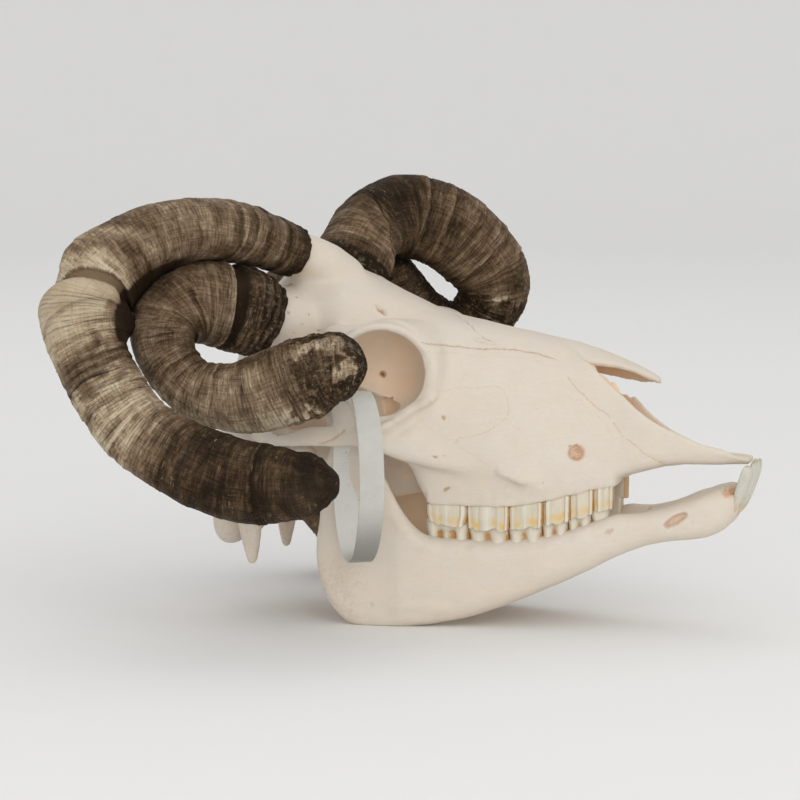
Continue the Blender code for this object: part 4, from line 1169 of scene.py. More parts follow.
def jaw_shape(side, grain):
    """One half of the lower jaw, without its teeth."""
    outline, _ = smooth_rows([(x, 0, z) for x, z in JAW_OUTLINE + JAW_OUTLINE[:1]], 220)
    outline = outline[:-1, [0, 2]]
    mesh = bpy.data.meshes.new("jaw_plate")
    plate = bpy.data.objects.new("jaw_plate", mesh)
    bpy.context.scene.collection.objects.link(plate)
    shape = bmesh.new()
    loops = [[shape.verts.new(at(x, y, z)) for x, z in outline] for y in (-6.0, 6.0)]
    for i in range(len(outline)):
        j = (i + 1) % len(outline)
        shape.faces.new((loops[0][i], loops[0][j], loops[1][j], loops[1][i]))
    for loop in loops:
        edges = [shape.edges.get((loop[i], loop[(i + 1) % len(loop)])) for i in range(len(loop))]
        bmesh.ops.triangle_fill(shape, edges=edges, use_beauty=True)
    bmesh.ops.recalc_face_normals(shape, faces=shape.faces)
    shape.to_mesh(mesh)
    shape.free()
    melted(plate, max(grain, 0.8), 0)
    points = points_of(plate)
    x, z = points[:, 0], points[:, 2]
    deep = distance_to_outline(x, z, outline)
    half = jaw_half_thickness(x)
    edge = np.interp(x, (-10, 20, 60, 120), (4.5, 7.0, 7.5, 6.0))
    rounding = np.sqrt(np.clip(1 - np.clip(1 - deep / edge, 0, 1) ** 2, 0.02, 1))
    # the ramus is hollowed for muscle, outside and inside
    hollow = 1 - 0.25 * np.exp(-(((x + 6) / 15) ** 2 + ((z + 52) / 17) ** 2))
    points[:, 1] = jaw_middle(x, z) + points[:, 1] / 6 * half * rounding * hollow
    set_points(plate, points)
    head = lump("jaw_head", (-32, 42.5, -20.5), (5.2, 10.5, 4.6), (0, 0, 8))
    chin = tube("chin", [(112, 9, -51, 7, 6), (126, 7.6, -48, 8, 7.4), (138, 7.2, -44, 9, 7.2),
                         (147, 6.6, -40, 6.5, 6.4)])
    jaw = melted(united(f"bone_mandible_{SIDE_NAMES[side]}", [plate, head, chin]), grain * 1.1, 9)
    low, high = at(90, -20, -70), at(175, 0.17, 0)
    bpy.ops.mesh.primitive_cube_add(size=1)
    middle_cut = bpy.context.object
    middle_cut.data.transform(Matrix.Translation((low + high) / 2) @ Matrix.Diagonal((*(high - low), 1)))
    carved(jaw, [middle_cut, lump("marrow_pocket", (150.5, 9.5, -32.6), (4.6, 3.8, 3.6), (0, 20, 0))])
    main_body(jaw)
    points = points_of(jaw)
    points[:, 2] = np.maximum(points[:, 2], FLOOR)
    if side == RIGHT:
        points[:, 1] *= -1
        jaw.data.flip_normals()
    set_points(jaw, points)
    return jaw


def jaw_detail(piece, side):
    carve = Carver(piece)
    points, normals = carve.points, carve.normals
    inside = points[:, 2] > FLOOR + 0.4
    waves = 0.3 * noise(points, 12, 6) + 0.1 * noise(points, 4, 7)
    carve.points = points + normals * (inside * waves)[:, None]
    carve.flip = np.array([1, side, 1])
    carve.trough([(122.3, 17.2, -48.8), (126, 16.8, -46.4), (129.8, 16.1, -44.2)], 1.6, 2.4, 0.5, 0.4)
    carve.pit((128.6, 16.4, -44.6), 0.7, 0.9, 0.9)
    carve.pit((123.4, 17, -48), 0.7, 0.9, 0.8)
    carve.trough([(97.0, 22, -52.6), (99.6, 21.6, -50.8)], 0.8, 0.8, 0.5)
    carve.pit((133.5, 15.5, -47), 0.5, 0.5, 0.5)
    carve.swell((-2, 40, -73), 14, -1.3)
    carve.swell((-12, 40, -62), 12, -0.8)
    carve.swell((8, 40, -60), 12, 0.7)
    carve.pit((-2.2, 39.9, -84.8), 1.0, 0.6, 0.3)
    carve.ridge([(4, 39.6, -87), (14, 39.5, -84.6), (24, 38.5, -85), (33, 36.5, -86.6)], 4, 0.6)
    carve.ridge([(-20, 39, -80), (-14, 39, -86), (-5, 39, -90)], 3, 0.5)
    carve.ridge([(8, 38, -46), (17, 36, -56), (27, 34, -60)], 5, 0.7)
    carve.swell((70, 27, -66), 16, 0.8)
    carve.swell((110, 16, -52), 8, -0.4)
    deepen(carve.ochre, 0.36 * rise(16, -14, points[:, 0]) * rise(-48, -76, points[:, 2]))
    # painted warm bounce light on the inner face of the jaw's back part
    carve.painted_bounce = 0.85 * rise(0.2, 0.8, -side * normals[:, 1]) * rise(100, 80, points[:, 0])
    for x in LOWER_TOOTH_X[1:-1]:
        y = float(np.interp(x, (20, 60, 80, 100), (31.5, 28, 23, 17)))
        carve.swell((x, y + 2, meeting_height(x) - 8), 3.6, -0.45)
    for spot in ((149.5, 9.5, -34.4), (151.6, 10, -35.6), (147.4, 10.5, -34.6)):
        near, far = carve.around(carve.on_skin(spot * carve.flip)[0], 3.4)
        deepen(carve.marrow, rise(3.4, 1.6, far), near)
        deepen(carve.ochre, 0.8 * rise(3.2, 1.2, far), near)
    return carve.done()


# ---- horns --------------------------------------------------------------------------------------
# Rows are (x, y, z, half width, half depth). A tone is a place on the ladder of horn colours: 0 soot,
# 1 dark, 2 umber, 3 brown, 4 tan, 5 cream and 6 bleached; tones and rough are (mm along the horn, value).
HORNS = {
    "horn_upper_right": dict(
        rows=[(-42.5, -26, 66.4, 11.4, 16.5), (-57.6, -45, 75, 12.3, 17), (-73.3, -64, 77.6, 12.9, 17),
              (-90.5, -82, 72.2, 14.2, 16.5), (-104.5, -94, 60.5, 15.6, 16), (-110.4, -101, 47, 17.0, 15.5),
              (-105.4, -107, 29, 15.8, 15), (-88.4, -112, 2.8, 15.4, 14.5), (-71.5, -115, -9.6, 15.8, 14.5),
              (-46, -119, -19.4, 16.8, 14), (-29, -122, -22.3, 16.7, 13.5), (-11, -126, -22.2, 14.3, 12),
              (2, -128, -20, 11.6, 10), (9, -129, -18.2, 8, 8)],
        facing=(0.26, -0.96, 0.1), seed=11,
        tones=[(0, 0.4), (4, 1.0), (8, 2.4), (12, 1.5), (16, 3.0), (21, 2.0), (25, 3.2), (33, 3.4),
               (50, 3.5), (65, 3.5), (84, 2.8), (98, 4.2), (103, 4.5), (110, 5.1), (127, 4.8), (143, 4.0),
               (153, 4.7), (168, 5.0), (178, 5.0), (187, 3.6), (197, 2.1), (206, 1.5), (226, 1.3),
               (251, 1.3), (262, 0.6), (272, 0.2)],
        rough=[(0, 0.9), (8, 0.5), (20, 0.25), (95, 0.3), (140, 0.6), (185, 0.45), (262, 0.5), (272, 0.9)]),
    "horn_lower_right": dict(
        rows=[(-50, -41, 38.2, 17, 16.5), (-57, -50, 42.2, 18.2, 17), (-64, -58, 45.2, 18.2, 17),
              (-74, -67, 46, 17, 16), (-81.5, -75, 39.6, 15, 15), (-82, -80, 31, 13.4, 14),
              (-77, -84, 21.4, 12, 13.5), (-66, -87, 12, 12.4, 13), (-53, -89, 9, 13.8, 12.5),
              (-39, -90, 10, 15.8, 12), (-20.5, -90, 16.3, 17.2, 11.5), (-7, -89, 21.6, 15, 11),
              (2, -88, 22.8, 12.6, 10), (9.5, -88, 22.8, 8.5, 8)],
        facing=(0.26, -0.96, 0.1), seed=23,
        tones=[(0, 0.2), (5, 1.0), (12, 1.5), (17, 1.4), (22, 0.8), (24, 3.3), (28, 3.0), (45, 2.6),
               (56, 3.1), (72, 2.9), (91, 3.4), (106, 3.7), (123, 3.8), (131, 3.0), (141, 2.1), (148, 1.6),
               (158, 1.2), (165, 0.3)],
        rough=[(0, 1.0), (24, 0.8), (30, 0.35), (100, 0.35), (128, 0.6), (140, 1.0), (165, 1.0)]),
    "horn_upper_left": dict(
        rows=[(-29.4, 15.5, 49.5, 17.2, 18.0), (-28.4, 20, 56.6, 17.8, 18.5), (-25, 33, 71, 16.2, 17),
              (-19, 44, 77.4, 16.8, 16.5), (-10.8, 54, 78.8, 18.8, 16), (3.9, 63, 73.1, 19, 15.5),
              (12.5, 70, 65.5, 18.6, 15), (20.4, 77, 55.6, 17.5, 14.5), (22.8, 81, 45.3, 16.6, 13.5),
              (19.2, 84, 35.3, 15.2, 12.5), (9.2, 84, 26.2, 13.2, 11.5), (-2, 80, 25.2, 13.6, 10.5),
              (-12, 74, 32, 14, 10), (-19.6, 68, 44, 13.2, 9), (-24, 64, 55, 11.4, 8), (-26, 62, 62, 8.4, 6)],
        facing=(-0.3, 0.9, 0.1), seed=37,
        tones=[(0, 0.1), (7, 0.2), (11, 2.5), (20, 2.9), (31, 2.5), (36, 1.8), (54, 1.7), (70, 2.2),
               (84, 2.9), (104, 3.2), (112, 1.9), (130, 1.5), (137, 2.0), (165, 1.8), (190, 1.5), (199, 0.3)],
        rough=[(0, 1.0), (9, 0.8), (14, 0.4), (34, 0.4), (104, 0.45), (113, 0.9), (130, 0.9), (140, 0.55),
               (199, 0.9)]),
    "horn_lower_left": dict(
        rows=[(-50, 41, 40, 14.6, 16.5), (-62, 56, 43, 15.6, 16.5), (-73, 70, 33, 15.6, 16.5),
              (-78, 82, 10, 15.6, 16), (-76, 91, -20, 15.4, 15.5), (-67, 96, -48, 15.2, 15),
              (-54.5, 99, -68, 15, 14.5), (-38, 101, -79.2, 14.8, 14), (-18, 100, -77, 13.6, 13),
              (0, 97, -69, 12, 11), (10, 95, -62, 9, 8.5)],
        facing=(0.35, 0.93, 0), seed=51,
        tones=[(0, 0.4), (6, 2.2), (30, 2.8), (70, 3.1), (96, 2.6), (120, 3.3), (150, 2.6), (180, 1.7),
               (205, 1.0), (225, 0.2)],
        rough=[(0, 1.0), (8, 0.6), (30, 0.3), (150, 0.35), (205, 0.6), (225, 0.9)]),
}


class Sheath:
    """A horn drawn as distances along it and turns round it, so that relief and tone can be laid on."""

    def __init__(self, name, shape, sides, step, growth):
        self.name, self.seed = name, shape["seed"]
        _, run = smooth_rows(shape["rows"], 2)
        path, run = smooth_rows(shape["rows"], int(run[-1] / step))
        self.arms, turn = tube_grid(path, shape["facing"], sides, 2.3)
        left = (1 - run / run[-1]) / 0.06
        blunt = np.sqrt(np.maximum(1 - (1 - np.minimum(left, 1)) ** 2, 0.012))
        self.arms *= blunt[:, None, None]
        self.centres, self.length = path[:, :3], run[-1]
        self.run = np.broadcast_to(run[:, None], self.arms.shape[:2])
        self.turn = np.broadcast_to(turn[None, :], self.arms.shape[:2])
        self.points = self.centres[:, None] + self.arms
        self.wrap = np.stack([np.cos(self.turn) * 15, np.sin(self.turn) * 15, self.run], -1)
        self.lift = np.zeros(self.run.shape)
        self.tone = np.interp(self.run, *zip(*shape["tones"]))
        self.crust = np.interp(self.run, *zip(*shape["rough"]))
        # stain carries dark cracks and lines, and painted shade where a horn's special or the rim lays it
        self.stain = np.zeros(self.run.shape)       # over 0 it darkens the horn
        rng = np.random.RandomState(self.seed)
        edges = np.cumsum(rng.uniform(0.7, 1.45, 400) * growth) - 9
        self.edges = edges[edges < self.length + 12]
        self.weights = 1.7 * rng.uniform(0.1, 1.0, len(self.edges)) ** 2
        self.steps = np.cumsum(rng.uniform(6, 15, 60)) - 18
        self.strength = rng.uniform(0.25, 1.0, 60)

    def waves(self, size, seed, stretch=1.0):
        """Noise over the horn's skin; stretch draws it out lengthwise."""
        return noise(self.wrap / (size, size, size * stretch), 1.0, self.seed + seed)

    def degrees(self, middle):
        """How many degrees round the horn each place is from a turn."""
        return (np.degrees(self.turn) - middle + 180) % 360 - 180

    def away(self, middle):
        return np.abs(self.degrees(middle))

    def grow(self, relief):
        """Growth lines, the steps left by lean times, long grooves and lumps."""
        wander = self.run + 1.1 * self.waves(13, 1) + 0.35 * self.waves(4, 2)
        ring = np.searchsorted(self.edges, wander.ravel()).reshape(wander.shape) - 1
        ring = np.clip(ring, 0, len(self.edges) - 2)
        gap = self.edges[ring + 1] - self.edges[ring]
        share = np.clip((wander - self.edges[ring]) / gap, 0, 1)
        self.growth = ring + share
        near = np.minimum(share, 1 - share) * gap
        fade = rise(self.length, self.length - 26, self.run) * 0.75 + 0.25
        drawn = np.where(share < 0.5, self.weights[ring], self.weights[ring + 1]) * fade
        drawn = drawn * rise(-0.6, 0.5, self.waves(9, 15, 0.5))
        self.lift += relief * drawn * (0.6 * np.sin(np.pi * share) - bump(near, 0, 0.4))
        self.stain += 0.3 * drawn * bump(near, 0, 0.35)
        slow = self.run + 1.6 * self.waves(22, 3) + 0.5 * self.waves(6, 16)
        step = np.clip(np.searchsorted(self.steps, slow.ravel()).reshape(slow.shape), 1, 58)
        after, ahead = np.maximum(slow - self.steps[step - 1], 0), self.steps[step] - slow
        patch = rise(-0.6, 0.4, self.waves(13, 17))
        behind = self.strength[step - 1] * np.exp(-after / 1.7)
        before = self.strength[step] * bump(ahead, 0, 2)
        self.lift += fade * (0.42 * before - 0.55 * behind * (0.4 + 0.6 * patch))
        self.tone = self.tone + fade * patch * (0.8 * before - 1.5 * behind)
        self.lift += 0.11 * self.waves(1.1, 4, 14) + 0.42 * self.waves(8, 5) + 0.06 * self.waves(1.5, 6)
        self.lift += self.crust ** 2 * (0.34 * self.waves(2.2, 7) + 0.2 * self.waves(1.0, 8))
        self.tone = self.tone + 0.5 * self.waves(11, 9, 1.4) + 0.32 * self.waves(3.2, 10, 1.2)

    def cracks(self, count, low, high, facing=90.0, spread=70.0):
        """Short dark clefts across the horn, along its growth lines."""
        rng = np.random.RandomState(self.seed + 5)
        wander = self.run + 0.9 * self.waves(10, 11)
        for _ in range(count):
            place, middle = rng.uniform(low, high), facing + rng.uniform(-spread, spread)
            width, reach = rng.uniform(0.3, 0.55), rng.uniform(14, 50)
            part = rise(reach, reach * 0.5, self.away(middle))
            line = bump(wander, place, width) * part
            self.lift -= rng.uniform(0.15, 0.4) * line
            self.stain += rng.uniform(0.3, 0.7) * line

    def rim(self):
        """The ragged edge of the base, and the open end closed and painted dark as the shade of a hollow."""
        edge = rise(5.5, 0, self.run)
        ragged = 0.9 * self.waves(4, 12) + 0.5 * self.waves(1.7, 13)
        self.lift += edge * ragged - 0.6 * rise(1.2, 0, self.run)
        # painted shade: the base and the cap over the open end are darkened as the hollow's shade
        self.stain += 0.6 * rise(6, 1, self.run + 1.6 * self.waves(4, 14))

    def built(self):
        size = np.linalg.norm(self.arms, axis=-1)
        small = np.minimum(1, size / 6)
        swell = 1 + self.lift * small / np.maximum(size, 0.5)
        points = self.centres[:, None] + self.arms * swell[..., None]
        points[..., 2] = np.maximum(points[..., 2], FLOOR)
        piece = skin_of("sheath" + self.name[4:], points)
        for name in ("tone", "stain", "crust", "growth"):
            values = getattr(self, name)
            painted(piece, name, np.concatenate([values.ravel(), [values[0].mean(0), values[-1].mean(0)]]))
        painted(piece, "wrap", np.vstack([self.wrap.reshape(-1, 3), self.wrap[0].mean(0),
                                          self.wrap[-1].mean(0)]))
        return piece


def broken_upper_right(sheath):
    """Where the first sheath ends in a ragged pale edge, and the next comes out of it with a rounded lip."""
    outer = np.clip(np.cos(sheath.turn), 0, 1)
    round_about = sheath.degrees(60)        # tables run from -180 to 180 round the middle of the seen side
    start = np.interp(round_about, (-120, -60, -30, -16, -3, 16, 34, 50, 68, 86, 100, 140),
                      (110, 113, 111.5, 109.5, 106, 103, 100.3, 98.6, 98, 98, 98.7, 101))
    lip_at = np.interp(round_about, (-120, -60, -48, -24, 3, 34, 50, 68, 86, 94, 105, 120, 140),
                       (110.4, 114.8, 113.6, 111.5, 108.7, 105, 103, 101.4, 102.2, 104, 103, 101, 101.4))
    start = start + 0.5 * sheath.waves(5, 20) + 0.35 * sheath.waves(1.3, 21, 9)
    past, after = sheath.run - start, sheath.run - np.maximum(lip_at, start + 0.4)
    calm = rise(-3, 0, past) * rise(9, 3, after)
    sheath.lift *= 1 - 0.85 * calm
    sheath.stain *= 1 - 0.9 * calm
    before = past < 0.2
    sheath.lift += 1.4 * outer * bump(past, -17, 8) - 4.4 * outer * rise(-13, -1, past) * before
    sheath.lift += rise(-6, -1, past) * before * (0.35 + 0.3 * sheath.waves(1.0, 28, 6))
    depth = 1.7 + 3.0 * outer
    sheath.lift -= depth * rise(-0.1, 0.25, past) * (after <= 0)
    lip = 1 - np.clip(after / 4.6, 0, 1)
    sheath.lift -= depth * (1 - np.sqrt(1 - lip ** 2)) * (after > 0)
    sheath.lift += 0.7 * rise(0, 4, after) * rise(26, 4, after)
    gap = rise(-0.1, 0.3, past) * (after < 0.2)
    seen = rise(178, 140, np.abs(round_about))
    sheath.tone += gap * (3.2 - sheath.tone + 0.2 * sheath.waves(2, 29, 4))
    for middle, reach, goal in ((-20, 3.6, 4.4), (-11, 3.0, 3.0), (-5, 3.0, 5.0), (-1, 2.4, 6.0)):
        sheath.tone += bump(past, middle, reach) * (past < 0.1) * 0.85 * seen * (
            goal + 0.5 * sheath.waves(2.2, 30, 2.5) - sheath.tone)
    # a painted shadow line just past the pale edge, under its overhang
    sheath.stain += 0.5 * bump(past, 0.35, 0.3)
    pale = rise(0, 1.2, after) * rise(34, 14, after)
    sheath.tone += pale * 0.8 * (5.4 - sheath.tone) * seen
    # smooth places: the gap, the lip and what follows it
    smooth = np.maximum(gap, 0.75 * rise(34, 10, after) * (after > 0))
    sheath.crust = np.where(past > 0, -smooth, sheath.crust)
    sheath.crust = np.where(sheath.run > 150, np.maximum(sheath.crust, 0.3), sheath.crust)
    for place, strength in ((13.0, 0.5), (14.2, 0.3)):
        line = bump(after - place + 0.6 * sheath.waves(8, 31), 0, 0.45)
        sheath.stain += strength * line
        sheath.lift -= 0.22 * line
    patches = rise(0.1, 0.5, sheath.waves(6, 35, 1.5) + 0.3 * sheath.waves(2, 36, 4)) * rise(8, 14, after)
    sheath.tone -= 1.5 * patches * rise(70, 20, sheath.away(125)) * rise(165, 150, sheath.run)
    inner = rise(95, 130, sheath.away(20)) * (after > 0)
    sheath.tone -= 0.5 * inner * rise(190, 120, sheath.run)
    front = rise(179 + 8 * sheath.waves(9, 23), 200, sheath.run - 14 * rise(60, 0, sheath.away(150)))
    sheath.tone -= 0.5 * front
    for place, strength in ((139, 0.6), (142.5, 0.7), (146, 0.5), (149.5, 0.8), (155, 0.4), (163, 0.4),
                            (172, 0.4)):
        wander = sheath.run + 1.6 * sheath.waves(9, 24) + 0.4 * sheath.waves(2.5, 25) - place
        part = rise(0.0, 0.6, sheath.waves(12, int(place)) + 0.45)
        sheath.stain += strength * part * bump(wander, 0, 0.9)
        sheath.tone -= 0.8 * part * bump(wander, 0, 2.2)
        sheath.lift -= 0.3 * part * bump(wander, 0, 0.9)
    # on its hidden inner side it swells until it all but touches the lower horn, and there it is painted near
    # black as the shadow between the two horns
    hidden = bump(sheath.degrees(224), 0, 42)
    sheath.lift += hidden * np.interp(sheath.run, (12, 30, 60, 84, 112, 127, 138),
                                      (0, 3.2, 4, 6.4, 8.6, 8.6, 0))
    sheath.tone -= 3.4 * hidden ** 0.5 * rise(30, 80, sheath.run) * rise(156, 138, sheath.run)
    shaded = rise(80, 68, sheath.away(224))
    sheath.stain += 1.2 * shaded * rise(50, 70, sheath.run) * rise(142, 134, sheath.run)
    knobs = rise(232, 262, sheath.run)
    sheath.lift += knobs * (1.1 * sheath.waves(7, 32) + 0.5 * sheath.waves(2.4, 33))
    sheath.stain += 0.7 * knobs * rise(0.1, 0.5, sheath.waves(5, 34))


def creased_lower_right(sheath):
    """A crusty collar, a crease all round with a pale edge, and a scabby tip."""
    past = sheath.run + 0.8 * sheath.waves(14, 20) - 23.5
    sheath.lift += 0.5 * rise(3, 8, sheath.run) * rise(-4, -7, past) * (1 + 0.8 * sheath.waves(3.5, 21))
    sheath.lift -= 1.1 * rise(-6.5, -3.5, past) * rise(0.25, -0.15, past)
    sheath.stain += (1.1 * rise(-6, -3.8, past) * rise(0.2, -0.3, past)
                     * rise(-0.9, 0.3, sheath.waves(5, 22) + 0.3))
    sheath.tone += 1.6 * bump(past, 0.7, 0.5) * (0.7 + 0.5 * sheath.waves(5, 22))
    bark = np.sin(sheath.run * 1.5 + 1.8 * sheath.waves(6, 23)) * rise(-3, -6, past)
    sheath.lift += 0.35 * bark
    sheath.tone += 0.8 * bark
    edge = bump(sheath.degrees(28), 0, 24) * rise(62, 84, sheath.run) * rise(134, 118, sheath.run)
    sheath.tone += 1.3 * edge
    sheath.tone -= 0.7 * rise(60, 20, sheath.away(170)) * rise(30, 60, sheath.run)
    scab = rise(126, 142, sheath.run + 7 * sheath.waves(8, 24))
    sheath.lift += scab * (1.0 * sheath.waves(4.2, 25) + 0.5 * sheath.waves(1.9, 26))
    patches = scab * rise(0.2, 0.5, sheath.waves(6.5, 27) + 0.35 * sheath.waves(2.2, 28)) * rise(
        100, 60, sheath.away(120))
    sheath.tone += patches * (4.7 - sheath.tone)
    sheath.lift += 0.5 * patches
    flakes = rise(34, 20, sheath.away(32)) * rise(11, 5, np.abs(sheath.run - 132))
    flakes = flakes * rise(0.15, 0.35, sheath.waves(2.0, 29) + 0.2)
    sheath.tone += flakes * (5.6 - sheath.tone)
    sheath.lift += 0.4 * flakes


def creased_upper_left(sheath):
    """A black root, a slanting crease, and bark-like scabs on the outer bend."""
    away = sheath.away(-32)
    crease = 7 + np.interp(away, (0, 39, 71, 100, 180), (28.5, 25, 21.5, 11, 9))
    past = sheath.run + 0.7 * sheath.waves(9, 20) - crease
    sheath.lift += 0.7 * rise(-9, -0.8, past) * (past < 0.4)
    sheath.lift -= 0.8 * bump(past, 0.4, 0.8)
    sheath.stain += 1.1 * bump(past, 0.3, 0.6)
    sheath.tone -= 0.7 * rise(0, 3, past) * rise(26, 8, past)
    collar = sheath.run - 7.5 + 0.8 * sheath.waves(6, 21)
    sheath.lift -= 0.7 * rise(0.8, -0.6, collar)
    sheath.stain += 0.8 * bump(collar, 0, 0.7)
    scab = rise(9, 4, np.abs(sheath.run - 121 + 3 * sheath.waves(6, 22)))
    plates = sheath.waves(3.2, 23) + 0.5 * sheath.waves(1.6, 24)
    sheath.lift += scab * (0.9 * np.abs(plates) ** 0.6 - 0.3)
    sheath.stain += scab * 1.2 * bump(plates, 0, 0.16)
    sheath.tone += scab * rise(0.3, 0.6, sheath.waves(4.5, 25)) * 2.4
    inner = rise(120, 150, sheath.away(0)) * rise(30, 60, sheath.run)
    sheath.tone -= inner * 1.5
    sheath.lift += inner * 0.3 * sheath.waves(1.6, 26, 6)


# What one horn has alone, the number of its cracks, and from where to where they lie, in mm along it.
SPECIALS = {
    "horn_upper_right": (broken_upper_right, 9, 5, 90),
    "horn_lower_right": (creased_lower_right, 14, 26, 120),
    "horn_upper_left": (creased_upper_left, 12, 10, 190),
    "horn_lower_left": (None, 14, 8, 215),
}


# ---- tag strap ----------------------------------------------------------------------------------
def strap_shape():
    """A loop of flat plastic, with softened edges and fine ribs inside its back run."""
    along = np.array((math.cos(STRAP_TURN), math.sin(STRAP_TURN), 0))
    inward = np.array((-math.sin(STRAP_TURN), math.cos(STRAP_TURN), 0))
    rounded = []
    half, thin, corner = STRAP_WIDTH / 2, STRAP_THICKNESS / 2, 0.3
    for wide, thick, start in ((1, 1, 0), (-1, 1, 90), (-1, -1, 180), (1, -1, 270)):
        for turn in np.radians(start + np.linspace(0, 90, 5)):
            rounded.append((wide * (half - corner) + corner * math.cos(turn),
                            thick * (thin - corner) + corner * math.sin(turn)))
    dense = []
    for (w0, t0), (w1, t1) in zip(rounded, rounded[1:] + rounded[:1]):
        pieces = max(1, int(abs(w1 - w0) / 1.2))
        dense += [(w0 + (w1 - w0) * k / pieces, t0 + (t1 - t0) * k / pieces) for k in range(pieces)]
    wide, thick = np.array(dense).T
    grid, tint = [], []
    for turn in np.linspace(0, 2 * np.pi, STRAP_STEPS, endpoint=False):
        across, up = math.cos(turn), math.sin(turn)
        z = STRAP_HALF_HEIGHT * up
        back = float(rise(0.5, 0.8, across) * rise(5.6, 4.6, abs(z - 3.5)))
        inner = (thick < 0) * rise(half - 0.3, half - 0.9, np.abs(wide))
        wave = math.sin(z * 2 * math.pi / STRAP_RIB)
        bead = float(bump(up, 0.93, 0.035)) * 0.55 if across < 0 else 0.0
        skin = thick * (1 + bead) + 0.16 * wave * back * inner
        narrow = 1 - 0.1 * abs(up) ** 4
        grid.append(np.array(STRAP_MIDDLE) + along * (wide * narrow - 1.0)[:, None]
                    + inward * ((STRAP_HALF_DEPTH + skin) * across)[:, None]
                    + np.stack([np.zeros(len(wide)), np.zeros(len(wide)),
                                (STRAP_HALF_HEIGHT + skin) * up], -1))
        # painted light and shade: paler on its sheltered back run, darker down the lower part of its front
        # run and in its rib grooves
        tint += [float(rise(0.1, 0.6, across)) - 0.8 * float(rise(-0.1, -0.9, up) * rise(0.1, -0.4, across))
                 - 0.35 * back * max(0.0, -wave)] * len(wide)
    strap = skin_of("tag_strap_loop", grid, wrap=True)
    painted(strap, "tint", np.array(tint))
    return strap


# ---- shader nodes -------------------------------------------------------------------------------
def tinted(colour, factors):
    """The colour times one factor, or times one for each of red, green and blue."""
    return [part * factor for part, factor in zip(colour, np.broadcast_to(factors, 3))]


class Signal:
    """A value that runs through a shader tree. Sums and products of signals lay their own nodes."""

    def __init__(self, graph, socket):
        self.graph, self.socket = graph, socket

    def __add__(self, other):
        return self.graph.maths("ADD", self, other)

    def __sub__(self, other):
        return self.graph.maths("SUBTRACT", self, other)

    def __rsub__(self, other):
        return self.graph.maths("SUBTRACT", other, self)

    def __mul__(self, other):
        return self.graph.maths("MULTIPLY", self, other)

    def __rtruediv__(self, other):
        return self.graph.maths("DIVIDE", other, self)

    __radd__ = __add__


class Graph:
    """Lays nodes in a shader tree and joins them."""

    def __init__(self, tree):
        self.tree = tree

    def join(self, value, socket):
        if isinstance(value, Signal):
            self.tree.links.new(value.socket, socket)
        elif socket.type == "RGBA":
            socket.default_value = (*value[:3], 1.0)
        else:
            socket.default_value = value

    def node(self, kind, inputs=None, **settings):
        made = self.tree.nodes.new(kind)
        for setting, value in settings.items():
            setattr(made, setting, value)
        for name, value in (inputs or {}).items():
            self.join(value, made.inputs[name])
        return made

    def take(self, kind, output, inputs=None, **settings):
        """One output of a new node."""
        return Signal(self, self.node(kind, inputs, **settings).outputs[output])

    def maths(self, operation, a, b=0.0, clamp=False):
        return self.take("ShaderNodeMath", 0, {0: a, 1: b}, operation=operation, use_clamp=clamp)

    def vector(self, operation, a, b):
        return self.take("ShaderNodeVectorMath", 0, {0: a, 1: b}, operation=operation)

    def range(self, value, low, high, to_low=0.0, to_high=1.0, smooth=True):
        return self.take("ShaderNodeMapRange", "Result", {
            "Value": value, "From Min": low, "From Max": high, "To Min": to_low, "To Max": to_high},
                         interpolation_type="SMOOTHSTEP" if smooth else "LINEAR")

    def noise(self, vector, scale, detail=3.0, roughness=0.55, distortion=0.0):
        return self.take("ShaderNodeTexNoise", "Fac", {
            "Vector": vector, "Scale": scale, "Detail": detail, "Roughness": roughness,
            "Distortion": distortion})

    def cells(self, output, vector, scale, feature="F1"):
        return self.take("ShaderNodeTexVoronoi", output, {"Vector": vector, "Scale": scale}, feature=feature)

    def blend(self, share, a, b):
        return self.take("ShaderNodeMix", 2, {0: share, 6: a, 7: b}, data_type="RGBA", clamp_factor=True)

    def coats(self, colour, *coats):
        """A colour under coats of (share, colour), each over the one before."""
        for share, paint in coats:
            colour = self.blend(share, colour, paint)
        return colour

    def attribute(self, name, output="Fac"):
        return self.take("ShaderNodeAttribute", output, attribute_name=name)

    def mask(self, group, vector, output="Mask", **settings):
        return self.take("ShaderNodeGroup", output, {"Vector": vector, **settings}, node_tree=group)

    def bump(self, height, distance, strength):
        return self.take("ShaderNodeBump", "Normal", {
            "Height": height, "Distance": distance, "Strength": strength})

    def surface(self, colour, roughness, specular=0.5, normal=None, coat=0.0, through=0.0):
        """The finish of the whole tree; through is the share of light that it lets pass."""
        inputs = {"Base Color": colour, "Roughness": roughness, "Specular IOR Level": specular,
                  "Coat Weight": coat}
        if normal:
            inputs["Normal"] = normal
        shader = self.take("ShaderNodeBsdfPrincipled", 0, inputs)
        if through:
            glow = self.take("ShaderNodeBsdfTranslucent", 0, {"Color": colour, "Normal": normal})
            shader = self.take("ShaderNodeMixShader", 0, {0: through, 1: shader, 2: glow})
        self.node("ShaderNodeOutputMaterial", {"Surface": shader})


def node_group(name, outputs=("Mask",), **inputs):
    """A shader node group, made once. An input that starts as a number is one, and others are vectors."""
    def named(fill):
        def group():
            if name not in bpy.data.node_groups:
                tree = bpy.data.node_groups.new(name, "ShaderNodeTree")
                for title, start in inputs.items():
                    kind = "NodeSocketFloat" if isinstance(start, float) else "NodeSocketVector"
                    socket = tree.interface.new_socket(title, in_out="INPUT", socket_type=kind)
                    if start:
                        socket.default_value = start
                for title in outputs:
                    tree.interface.new_socket(title, in_out="OUTPUT", socket_type="NodeSocketFloat")
                graph = Graph(tree)
                entry, leave = graph.node("NodeGroupInput"), graph.node("NodeGroupOutput")
                values = fill(graph, {title: Signal(graph, entry.outputs[title]) for title in inputs})
                for title, value in zip(outputs, values):
                    graph.join(value, leave.inputs[title])
            return bpy.data.node_groups[name]
        return group
    return named


